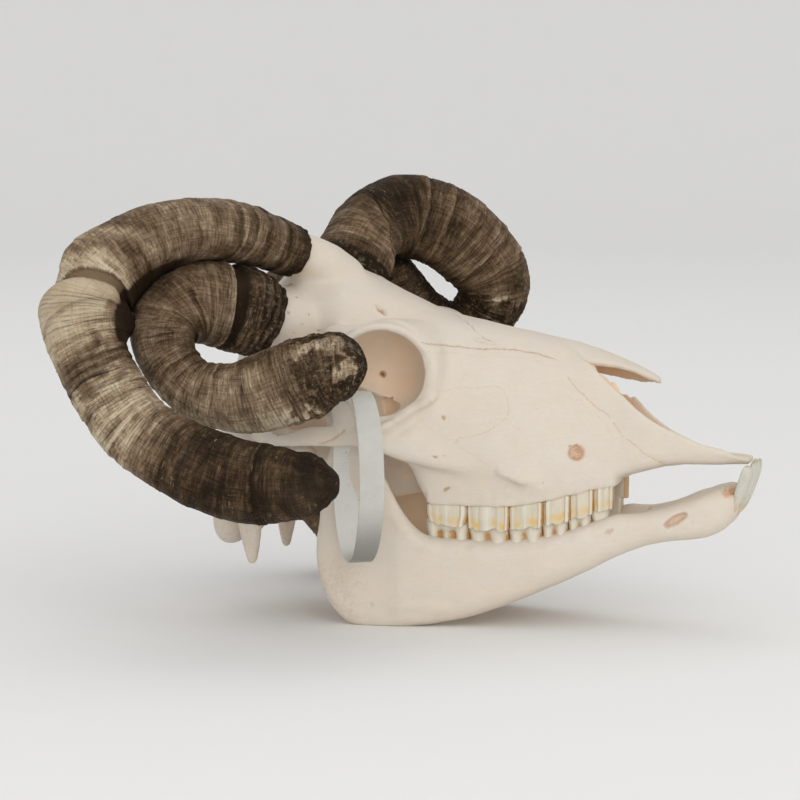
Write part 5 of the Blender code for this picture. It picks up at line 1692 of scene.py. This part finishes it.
@node_group("Mottling", Vector=None, Scale=0.05, Contrast=1.0)
def mottling(graph, given):
    """Uneven cloudy patches: two sizes of noise together."""
    wide = graph.noise(given["Vector"], given["Scale"], 4.0, 0.6, 0.4)
    fine = graph.noise(given["Vector"], given["Scale"] * 4.3, 3.0, 0.6)
    return [graph.range(wide * 0.68 + fine * 0.32, 0.5 - 0.25 / given["Contrast"],
                        0.5 + 0.25 / given["Contrast"])]


@node_group("Pores", Vector=None, Scale=1.0, Amount=0.3, Size=0.3)
def pores(graph, given):
    """Small scattered holes: the points of a cell pattern, thinned out by chance."""
    cells = graph.node("ShaderNodeTexVoronoi", {"Vector": given["Vector"], "Scale": given["Scale"]})
    distance, tint = (Signal(graph, cells.outputs[name]) for name in ("Distance", "Color"))
    chance = graph.take("ShaderNodeSeparateColor", 0, {"Color": tint})
    size = graph.range(chance, 1.0 - given["Amount"], 1.0, smooth=False) * given["Size"]
    return [1.0 - graph.range(distance, size * 0.45, size + 0.001)]


@node_group("Hairlines", Vector=None, Scale=0.1, Width=0.02, Wander=(3.0, 3.0, 3.0), Rarity=0.5)
def hairlines(graph, given):
    """Thin broken cracks: the borders of a bent cell pattern, shown only in patches."""
    bend = graph.take("ShaderNodeTexNoise", "Color", {
        "Vector": given["Vector"], "Scale": given["Scale"] * 2.2, "Detail": 3.0})
    bent = graph.vector("ADD", graph.vector("MULTIPLY", bend, given["Wander"]), given["Vector"])
    border = graph.cells("Distance", bent, given["Scale"], "DISTANCE_TO_EDGE")
    patch = graph.range(graph.noise(given["Vector"], given["Scale"] * 0.9, 2.0), given["Rarity"],
                        given["Rarity"] + 0.09)
    return [(1.0 - graph.range(border, 0.0, given["Width"])) * patch]


@node_group("Seam line", Vector=None, Distance=9.0, Width=0.5, Wander=2.4, Strength=1.0)
def seam_line(graph, given):
    """The dark wriggling line of a suture, from how far away its middle is."""
    wriggle = graph.noise(given["Vector"], 0.75, 3.0, 0.7) - 0.5
    moved = graph.maths("ABSOLUTE", given["Distance"] + wriggle * given["Wander"])
    line = 1.0 - graph.range(moved, given["Width"] * 0.35, given["Width"])
    broken = graph.range(graph.noise(given["Vector"], 0.33, 2.0), 0.3, 0.5)
    return [graph.maths("MULTIPLY", line * broken, given["Strength"], clamp=True)]


@node_group("Growth rings", ("Tone", "Line"), Growth=0.0, Vector=None)
def growth_rings(graph, given):
    """Growth lines of horn: the whole part of Growth numbers the ring, the rest runs across it."""
    share = graph.maths("FRACT", given["Growth"])
    chance = graph.take("ShaderNodeTexWhiteNoise", "Value", {"W": graph.maths("FLOOR", given["Growth"])},
                        noise_dimensions="1D")
    line = 1.0 - graph.range(graph.maths("MINIMUM", share, 1.0 - share), 0.02, 0.14)
    flat = graph.vector("MULTIPLY", given["Vector"], (1, 1, 0.3))
    return [chance, line * graph.range(graph.noise(flat, 0.09, 2.0), 0.35, 0.65)]


@node_group("Fibres", Vector=None, Stretch=(1.0, 1.0, 0.06), Scale=1.2, Low=0.3, High=0.7)
def fibres(graph, given):
    """Fine streaks, drawn out along an axis whose stretch is small."""
    drawn = graph.vector("MULTIPLY", given["Vector"], given["Stretch"])
    return [graph.range(graph.noise(drawn, given["Scale"], 4.0, 0.62), given["Low"], given["High"])]


def finish_of(name):
    """A material laid by the function below, once. Its place is the object's own, in millimetres."""
    def named(lay):
        def material(look):
            if name not in bpy.data.materials:
                made = bpy.data.materials.new(name)
                made.use_nodes = True
                made.node_tree.nodes.clear()
                graph = Graph(made.node_tree)
                place = graph.take("ShaderNodeTexCoord", "Object")
                lay(look, graph, graph.vector("MULTIPLY", place, (1000.0, 1000.0, 1000.0)))
            return bpy.data.materials[name]
        return material
    return named


@finish_of("Bone")
def bone_material(look, graph, place):
    clouds = graph.mask(mottling(), place, Scale=0.035, Contrast=1.1)
    blotch = graph.mask(mottling(), place, Scale=0.12, Contrast=1.3)
    streaks = graph.mask(fibres(), place, Stretch=(0.12, 1.0, 1.0), Scale=0.9)
    specks = graph.mask(pores(), place, Scale=0.75, Amount=0.13, Size=0.2)
    cracks = graph.mask(hairlines(), place, Scale=0.055, Width=0.012, Wander=(5.0, 5.0, 5.0), Rarity=0.54)
    seam = graph.mask(seam_line(), place, Distance=graph.attribute("seam"), Width=0.34, Wander=2.2,
                      Strength=graph.attribute("seam_strength"))
    ochre, recess, marrow = (graph.attribute(name) for name in ("ochre", "recess", "marrow"))
    patchy = ochre * 1.25 + (graph.noise(place, 0.7, 3.0, 0.65) - 0.55) * 0.9
    stained = graph.range(patchy, 0.25, 1.0) * graph.range(ochre, 0.02, 0.15)
    # Painted warm bounce light: recesses and sheltered faces are coated with the warm colour, brighter and
    # warmer than their shade would be.
    deep = graph.maths("ADD", graph.range(recess, 0.34, 0.95, smooth=False), (clouds - 0.5) * 0.16,
                       clamp=True)
    colour = graph.coats(
        look.colour,
        (clouds * 0.5, tinted(look.colour, (0.985, 0.93, 0.84))),
        (blotch * 0.3, tinted(look.colour, (1.07, 1.08, 1.11))),
        (streaks * 0.12, tinted(look.colour, 0.8)),
        (deep * 0.85, look.warm_bone_and_bounce),
        (stained * 0.62, look.ochre),
        # ochre past 1 is painted shade in holes, a dark red-brown
        (graph.range(ochre, 1.0, 1.6, 0.0, 0.85), (0.27, 0.11, 0.05)),
        (marrow * 0.75, (0.76, 0.46, 0.28)),
        (specks * 0.5, tinted(look.warm_bone_and_bounce, 0.45)),
        (cracks * 0.09, tinted(look.warm_bone_and_bounce, 0.5)),
        (seam * 0.72, tinted(look.ochre, (1.2, 1.3, 1.4))))
    sponge = graph.cells("Distance", place, 1.3)
    height = graph.noise(place, 2.4, 4.0, 0.6) * 0.18 - specks * 0.4 - cracks * 0.12 - seam * 0.3
    height = height + sponge * marrow * 1.4 + streaks * 0.1
    graph.surface(colour, graph.range(clouds, 0.0, 1.0, 0.5, 0.64), 0.35, graph.bump(height, 0.0006, 0.7))


@finish_of("Tooth")
def tooth_material(look, graph, place):
    brown, ochre = graph.attribute("brown"), graph.attribute("ochre")
    streaks = graph.mask(fibres(), place, Stretch=(1.0, 1.0, 0.16), Scale=0.9)
    clouds = graph.mask(mottling(), place, Scale=0.16, Contrast=1.4)
    # The brown paint is dirt and painted shade; ochre below 0 is a painted highlight on ribs and lobes.
    band = ochre * graph.range(graph.noise(place, 0.35, 3.0), 0.32, 0.55, 0.4, 1.0)
    dirt_and_shade = brown * graph.range(graph.noise(place, 0.8, 3.0), 0.3, 0.6, 0.6, 1.0)
    colour = graph.coats(
        look.tooth,
        (clouds * 0.55, tinted(look.tooth, (1.08, 1.1, 1.2))),
        (streaks * 0.25, tinted(look.tooth, (0.82, 0.72, 0.55))),
        (band * 0.85, (0.74, 0.51, 0.2)),
        (graph.range(ochre, -0.05, -0.7), (0.78, 0.74, 0.63)),
        (graph.range(dirt_and_shade, 0.08, 0.7), (0.56, 0.31, 0.11)))
    rough = streaks * 0.5 + graph.noise(place, 2.2, 3.0)
    graph.surface(colour, 0.36, 0.45, graph.bump(rough, 0.0004, 0.45))


@finish_of("Front tooth")
def front_tooth_material(look, graph, place):
    crown = graph.attribute("crown")
    clouds = graph.mask(mottling(), place, Scale=0.3, Contrast=1.2)
    lines = graph.mask(hairlines(), place, Scale=0.3, Width=0.03, Wander=(1.2, 1.2, 1.2), Rarity=0.5)
    root = graph.blend(clouds, (0.50, 0.36, 0.21), (0.66, 0.54, 0.38))
    glass = graph.blend(clouds * 0.5, look.front_tooth, tinted(look.front_tooth, (0.86, 0.84, 0.8)))
    colour = graph.coats(
        root,
        (graph.range(crown, 0.26, 0.46), glass),
        (lines * 0.4, (0.3, 0.2, 0.1)),
        (graph.range(crown, 0.95, 1.0, 0.0, 0.3), (0.5, 0.38, 0.22)))
    graph.surface(colour, 0.24, coat=0.25, normal=graph.bump(graph.noise(place, 1.5, 3.0), 0.0003, 0.3))


@finish_of("Horn")
def horn_material(look, graph, place):
    wrap = graph.attribute("wrap", "Vector")
    tone, stain, crust, growth = (graph.attribute(name) for name in ("tone", "stain", "crust", "growth"))
    ring_tone, ring_line = (graph.mask(growth_rings(), wrap, name, Growth=growth)
                            for name in ("Tone", "Line"))

    def marks(stretch, scale, low=0.3, high=0.7):
        return graph.mask(fibres(), wrap, Stretch=stretch, Scale=scale, Low=low, High=high)
    streaks = marks((1.0, 1.0, 0.07), 1.5)
    clouds = graph.mask(mottling(), place, Scale=0.14, Contrast=1.5)
    calm = graph.range(crust, -1.0, 0.0, 0.12, 1.0, smooth=False)
    patchy = graph.range(graph.noise(place, 0.05, 3.0), 0.35, 0.65, 0.4, 1.0)
    dry = graph.range(graph.noise(place, 0.06, 2.0), 0.4, 0.62)
    drift = 0.0
    for mask, amount in ((ring_tone, 0.7), (streaks, 1.0), (marks((0.22, 0.22, 1.0), 1.3), 1.1),
                         (marks((0.3, 0.3, 1.0), 0.22), 1.5), (clouds, 0.9)):
        drift = drift + (mask - 0.5) * amount
    level = tone + drift * calm
    ladder = (look.dark, look.umber, look.brown, look.tan, look.cream, look.bleached)
    colour = graph.coats(look.soot, *(
        (graph.range(level, number, number + 1, smooth=False), step) for number, step in enumerate(ladder)))
    scabs = graph.range(crust, 0.55, 1.0) * graph.range(graph.noise(place, 0.45, 4.0, 0.7), 0.5, 0.66)
    crevice = graph.range(crust, 0.4, 1.0) * graph.range(graph.noise(place, 0.8, 3.0, 0.65), 0.47, 0.36)
    # drenched is the stain paint: dark cracks and lines, and painted shade where it was laid
    drenched = graph.maths("MINIMUM", graph.maths("MAXIMUM", stain, 0.0), 1.0)
    colour = graph.coats(
        colour,
        (scabs * 0.38, look.scurf),
        (crevice * 0.6, look.soot),
        (marks((0.16, 0.16, 1.0), 1.0, 0.6, 0.7) * dry * calm * 0.5, look.cream),
        (marks((1.0, 1.0, 0.12), 1.9, 0.6, 0.72) * dry * calm * 0.35, look.cream),
        (marks((0.13, 0.13, 1.0), 1.15, 0.57, 0.64) * patchy * calm * 0.7, look.dark),
        (marks((1.0, 1.0, 0.1), 1.3, 0.59, 0.68) * patchy * calm * 0.6, look.dark),
        (ring_line * patchy * calm * 0.5, look.dark),
        (drenched * 0.95, look.soot),
        (graph.range(graph.noise(place, 0.05, 3.0), 0.5, 0.75) * 0.06, (0.26, 0.20, 0.15)))
    fine = streaks * 0.35 - ring_line * 0.5
    fine = fine + (0.25 + graph.maths("MAXIMUM", crust, -0.1)) * graph.noise(place, 1.3, 5.0, 0.7)
    graph.surface(colour, graph.range(crust + clouds * 0.4, 0.2, 1.2, 0.5, 0.8), 0.08,
                  graph.bump(fine, 0.0007, 0.65))


@finish_of("Strap")
def strap_material(look, graph, place):
    tint = graph.attribute("tint")
    clouds = graph.mask(mottling(), place, Scale=0.09, Contrast=1.2)
    specks = graph.mask(pores(), place, Scale=0.5, Amount=0.12, Size=0.22)
    scuffs = graph.mask(hairlines(), place, Scale=0.16, Width=0.012, Wander=(3.0, 3.0, 3.0), Rarity=0.5)
    colour = graph.coats(
        look.colour,
        (clouds * 0.5, tinted(look.colour, (0.86, 0.84, 0.78))),
        # painted light and shade: paler on the back run, darker down the lower front run and in the rib
        # grooves
        (graph.range(tint, 0.0, 1.0), (0.93, 0.93, 0.91)),
        (graph.range(tint, 0.0, -1.0, 0.0, 0.8), (0.27, 0.265, 0.24)),
        (specks * 0.5, (0.16, 0.13, 0.09)),
        (scuffs * 0.25, (0.24, 0.21, 0.17)))
    graph.surface(colour, graph.range(clouds, 0.0, 1.0, 0.34, 0.5), through=0.38,
                  normal=graph.bump(graph.noise(place, 0.8, 3.0), 0.0003, 0.35))


@finish_of("Floor")
def floor_material(look, graph, place):
    clouds = graph.range(graph.noise(place, 0.02, 3.0), 0.3, 0.7, 0.0, 0.25)
    graph.surface(graph.blend(clouds, look.colour, tinted(look.colour, 0.985)), 0.85, 0.15)


# ---- operators ----------------------------------------------------------------------------------
class SkullOperator:
    """What every piece's operator shares."""
    bl_options = {"REGISTER", "UNDO"}

    def coarse(self):
        return 1.0


class MESH_OT_skull_cranium(SkullOperator, bpy.types.Operator):
    """Build the cranium: face, forehead, sockets, cheek bones and skull base"""
    bl_idname = "mesh.skull_cranium"
    bl_label = "Cranium"

    def execute(self, context):
        look = context.scene.skull_bone
        piece = cranium_shape(look.grain / MM * self.coarse())
        under_budget(piece, CRANIUM_TRIANGLES)
        cranium_detail(piece, look.seam_depth / MM)
        finish_piece(piece, bone_material(look), "bone", "cranium")
        return {"FINISHED"}


class MESH_OT_skull_nose_scrolls(SkullOperator, bpy.types.Operator):
    """Build the thin scrolled bones inside the nose"""
    bl_idname = "mesh.skull_nose_scrolls"
    bl_label = "Nose scrolls"

    def execute(self, context):
        piece = nose_scrolls()
        count = len(piece.data.vertices)
        # recess 0.8 lays painted warm bounce light over all the scrolls
        for name, value in (("seam", 9.0), ("seam_strength", 0.0), ("ochre", 0.2), ("marrow", 0.25),
                            ("recess", 0.8)):
            painted(piece, name, np.full(count, value))
        finish_piece(piece, bone_material(context.scene.skull_bone), "bone")
        return {"FINISHED"}


class MESH_OT_skull_jaws(SkullOperator, bpy.types.Operator):
    """Build both halves of the lower jaw"""
    bl_idname = "mesh.skull_jaws"
    bl_label = "Lower jaws"

    def execute(self, context):
        look = context.scene.skull_bone
        for side in (RIGHT, LEFT):
            piece = jaw_shape(side, look.grain / MM * self.coarse())
            under_budget(piece, JAW_TRIANGLES)
            jaw_detail(piece, side)
            finish_piece(piece, bone_material(look), "bone", f"mandible_{SIDE_NAMES[side]}")
        return {"FINISHED"}


class MESH_OT_skull_cheek_teeth(SkullOperator, bpy.types.Operator):
    """Build the four rows of grinding teeth"""
    bl_idname = "mesh.skull_cheek_teeth"
    bl_label = "Cheek teeth"

    def execute(self, context):
        for side in (RIGHT, LEFT):
            for upper, level in ((True, "upper"), (False, "lower")):
                piece = tooth_row(f"{level}_teeth_{SIDE_NAMES[side]}", upper, side)
                finish_piece(piece, tooth_material(context.scene.skull_bone), "bone")
        return {"FINISHED"}


class MESH_OT_skull_front_teeth(SkullOperator, bpy.types.Operator):
    """Build the spade-shaped front teeth of the lower jaw"""
    bl_idname = "mesh.skull_front_teeth"
    bl_label = "Front teeth"

    def execute(self, context):
        for side in (RIGHT, LEFT):
            finish_piece(front_teeth(side), front_tooth_material(context.scene.skull_bone), "bone")
        return {"FINISHED"}


class MESH_OT_skull_horns(SkullOperator, bpy.types.Operator):
    """Build the four horn sheaths"""
    bl_idname = "mesh.skull_horns"
    bl_label = "Horns"

    def execute(self, context):
        look = context.scene.skull_horn
        for name, shape in HORNS.items():
            sheath = Sheath(name, shape, int(look.sides / self.coarse()), look.step / MM * self.coarse(),
                            look.growth / MM)
            sheath.grow(look.relief / MM)
            special, count, low, high = SPECIALS[name]
            if special:
                special(sheath)
            sheath.cracks(count, low, high, -90.0 if "left" in name else 90.0, 100.0)
            sheath.rim()
            finish_piece(sheath.built(), horn_material(look), "horn", name)
        return {"FINISHED"}


class MESH_OT_skull_strap(SkullOperator, bpy.types.Operator):
    """Build the tag strap that hangs round the cheek bone"""
    bl_idname = "mesh.skull_strap"
    bl_label = "Tag strap"

    def execute(self, context):
        finish_piece(strap_shape(), strap_material(context.scene.skull_strap), "strap_plastic", "tag_strap")
        return {"FINISHED"}


def aimed(name, data, azimuth, elevation, distance):
    """A lamp or camera aimed at the skull; azimuth 0 is the skull's right side, and 90 its nose."""
    turn, tilt = math.radians(azimuth), math.radians(elevation)
    back = Vector((math.sin(turn) * math.cos(tilt), -math.cos(turn) * math.cos(tilt), math.sin(tilt)))
    holder = bpy.data.objects.new(name, data)
    holder.location = ORIGIN + back * distance
    holder.rotation_euler = (-back).to_track_quat("-Z", "Y").to_euler()
    bpy.context.scene.collection.objects.link(holder)
    return holder


def lamp(name, azimuth, elevation, distance, size, power, colour):
    """A soft square light that the camera doesn't see."""
    light = bpy.data.lights.new(name, "AREA")
    light.size, light.energy, light.color = size, power, colour
    holder = aimed(name, light, azimuth, elevation, distance)
    holder.visible_camera = False


class SCENE_OT_skull_stage(SkullOperator, bpy.types.Operator):
    """Build the floor, the backdrop, the lights and the camera"""
    bl_idname = "scene.skull_stage"
    bl_label = "Stage"

    def execute(self, context):
        look = context.scene.skull_stage
        sides, bend = 96, 0.9
        turn = np.linspace(0, 2 * np.pi, sides, endpoint=False)
        bowl = [(look.radius * share, 0.0) for share in (0.02, 0.3, 0.7, 1.0)]
        bowl += [(look.radius + math.sin(a) * bend, bend - math.cos(a) * bend)
                 for a in np.radians(range(8, 89, 8))]
        bowl += [(look.radius + 0.92, 1.5)]
        rings = [[(r * math.cos(a), r * math.sin(a), z) for a in turn] for r, z in bowl]
        mesh = bpy.data.meshes.new("floor")
        points = [p for ring in rings for p in ring] + [(0, 0, 0)]
        faces = [[k + i, k + (i + 1) % sides, k + sides + (i + 1) % sides, k + sides + i]
                 for k in range(0, sides * (len(rings) - 1), sides) for i in range(sides)]
        faces += [[(i + 1) % sides, i, len(points) - 1] for i in range(sides)]
        mesh.from_pydata(points, [], faces)
        floor = bpy.data.objects.new("floor", mesh)
        context.scene.collection.objects.link(floor)
        choose(floor)
        bpy.ops.object.mode_set(mode="EDIT")
        bpy.ops.mesh.select_all(action="SELECT")
        bpy.ops.mesh.normals_make_consistent(inside=True)
        bpy.ops.object.mode_set(mode="OBJECT")
        bpy.ops.object.shade_smooth()
        mesh.materials.append(floor_material(look))

        world = bpy.data.worlds.new("Studio")
        world.use_nodes = True
        light = world.node_tree.nodes["Background"].inputs
        light["Color"].default_value, light["Strength"].default_value = (1.0, 0.995, 0.985, 1), 0.72
        context.scene.world = world
        lamp("key", 34, 26, 2.2, 1.1, 9.2, (1.0, 0.985, 0.965))
        lamp("fill", 4, 3, 2.4, 1.6, 5.6, (1.0, 0.99, 0.975))
        lamp("front", 14, 9, 2.4, 0.5, 5.2, (1.0, 0.985, 0.96))
        lamp("top", 200, 62, 2.2, 1.4, 4.0, (1.0, 1.0, 1.0))

        lens = bpy.data.cameras.new("camera")
        lens.sensor_width = 36.0
        lens.lens = lens.sensor_width / 2 / (HALF_VIEW / CAMERA_DISTANCE)
        lens.clip_start, lens.clip_end = 0.01, 50.0
        context.scene.camera = aimed("camera", lens, CAMERA_AZIMUTH, CAMERA_ELEVATION, CAMERA_DISTANCE * MM)
        context.scene.view_settings.view_transform = "Standard"
        return {"FINISHED"}


class VIEW3D_PT_skull(bpy.types.Panel):
    """Buttons for each piece, and the sizes and colours they use"""
    bl_label = "Four-horned ram skull"
    bl_space_type = "VIEW_3D"
    bl_region_type = "UI"
    bl_category = "Skull"

    def draw(self, context):
        layout = self.layout
        for operator in OPERATORS:
            layout.operator(operator.bl_idname)
        for title, group in (("Bone", context.scene.skull_bone), ("Horn", context.scene.skull_horn),
                             ("Strap", context.scene.skull_strap), ("Stage", context.scene.skull_stage)):
            box = layout.box()
            box.label(text=title)
            for name in group.__annotations__:
                box.prop(group, name)


OPERATORS = (MESH_OT_skull_cranium, MESH_OT_skull_nose_scrolls, MESH_OT_skull_jaws, MESH_OT_skull_cheek_teeth,
             MESH_OT_skull_front_teeth, MESH_OT_skull_horns, MESH_OT_skull_strap, SCENE_OT_skull_stage)
SETTINGS = {"skull_bone": SkullBone, "skull_horn": SkullHorn, "skull_strap": SkullStrap,
            "skull_stage": SkullStage}


def register():
    for group in SETTINGS.values():
        bpy.utils.register_class(group)
    for name, group in SETTINGS.items():
        setattr(bpy.types.Scene, name, PointerProperty(type=group))
    for made in (*OPERATORS, VIEW3D_PT_skull):
        bpy.utils.register_class(made)


def unregister():
    for made in (VIEW3D_PT_skull, *reversed(OPERATORS)):
        bpy.utils.unregister_class(made)
    for name in SETTINGS:
        delattr(bpy.types.Scene, name)
    for group in reversed(SETTINGS.values()):
        bpy.utils.unregister_class(group)


def main():
    register()
    bpy.ops.mesh.skull_cranium()
    bpy.ops.mesh.skull_nose_scrolls()
    bpy.ops.mesh.skull_jaws()
    bpy.ops.mesh.skull_cheek_teeth()
    bpy.ops.mesh.skull_front_teeth()
    bpy.ops.mesh.skull_horns()
    bpy.ops.mesh.skull_strap()
    bpy.ops.scene.skull_stage()


if __name__ == "__main__":
    main()
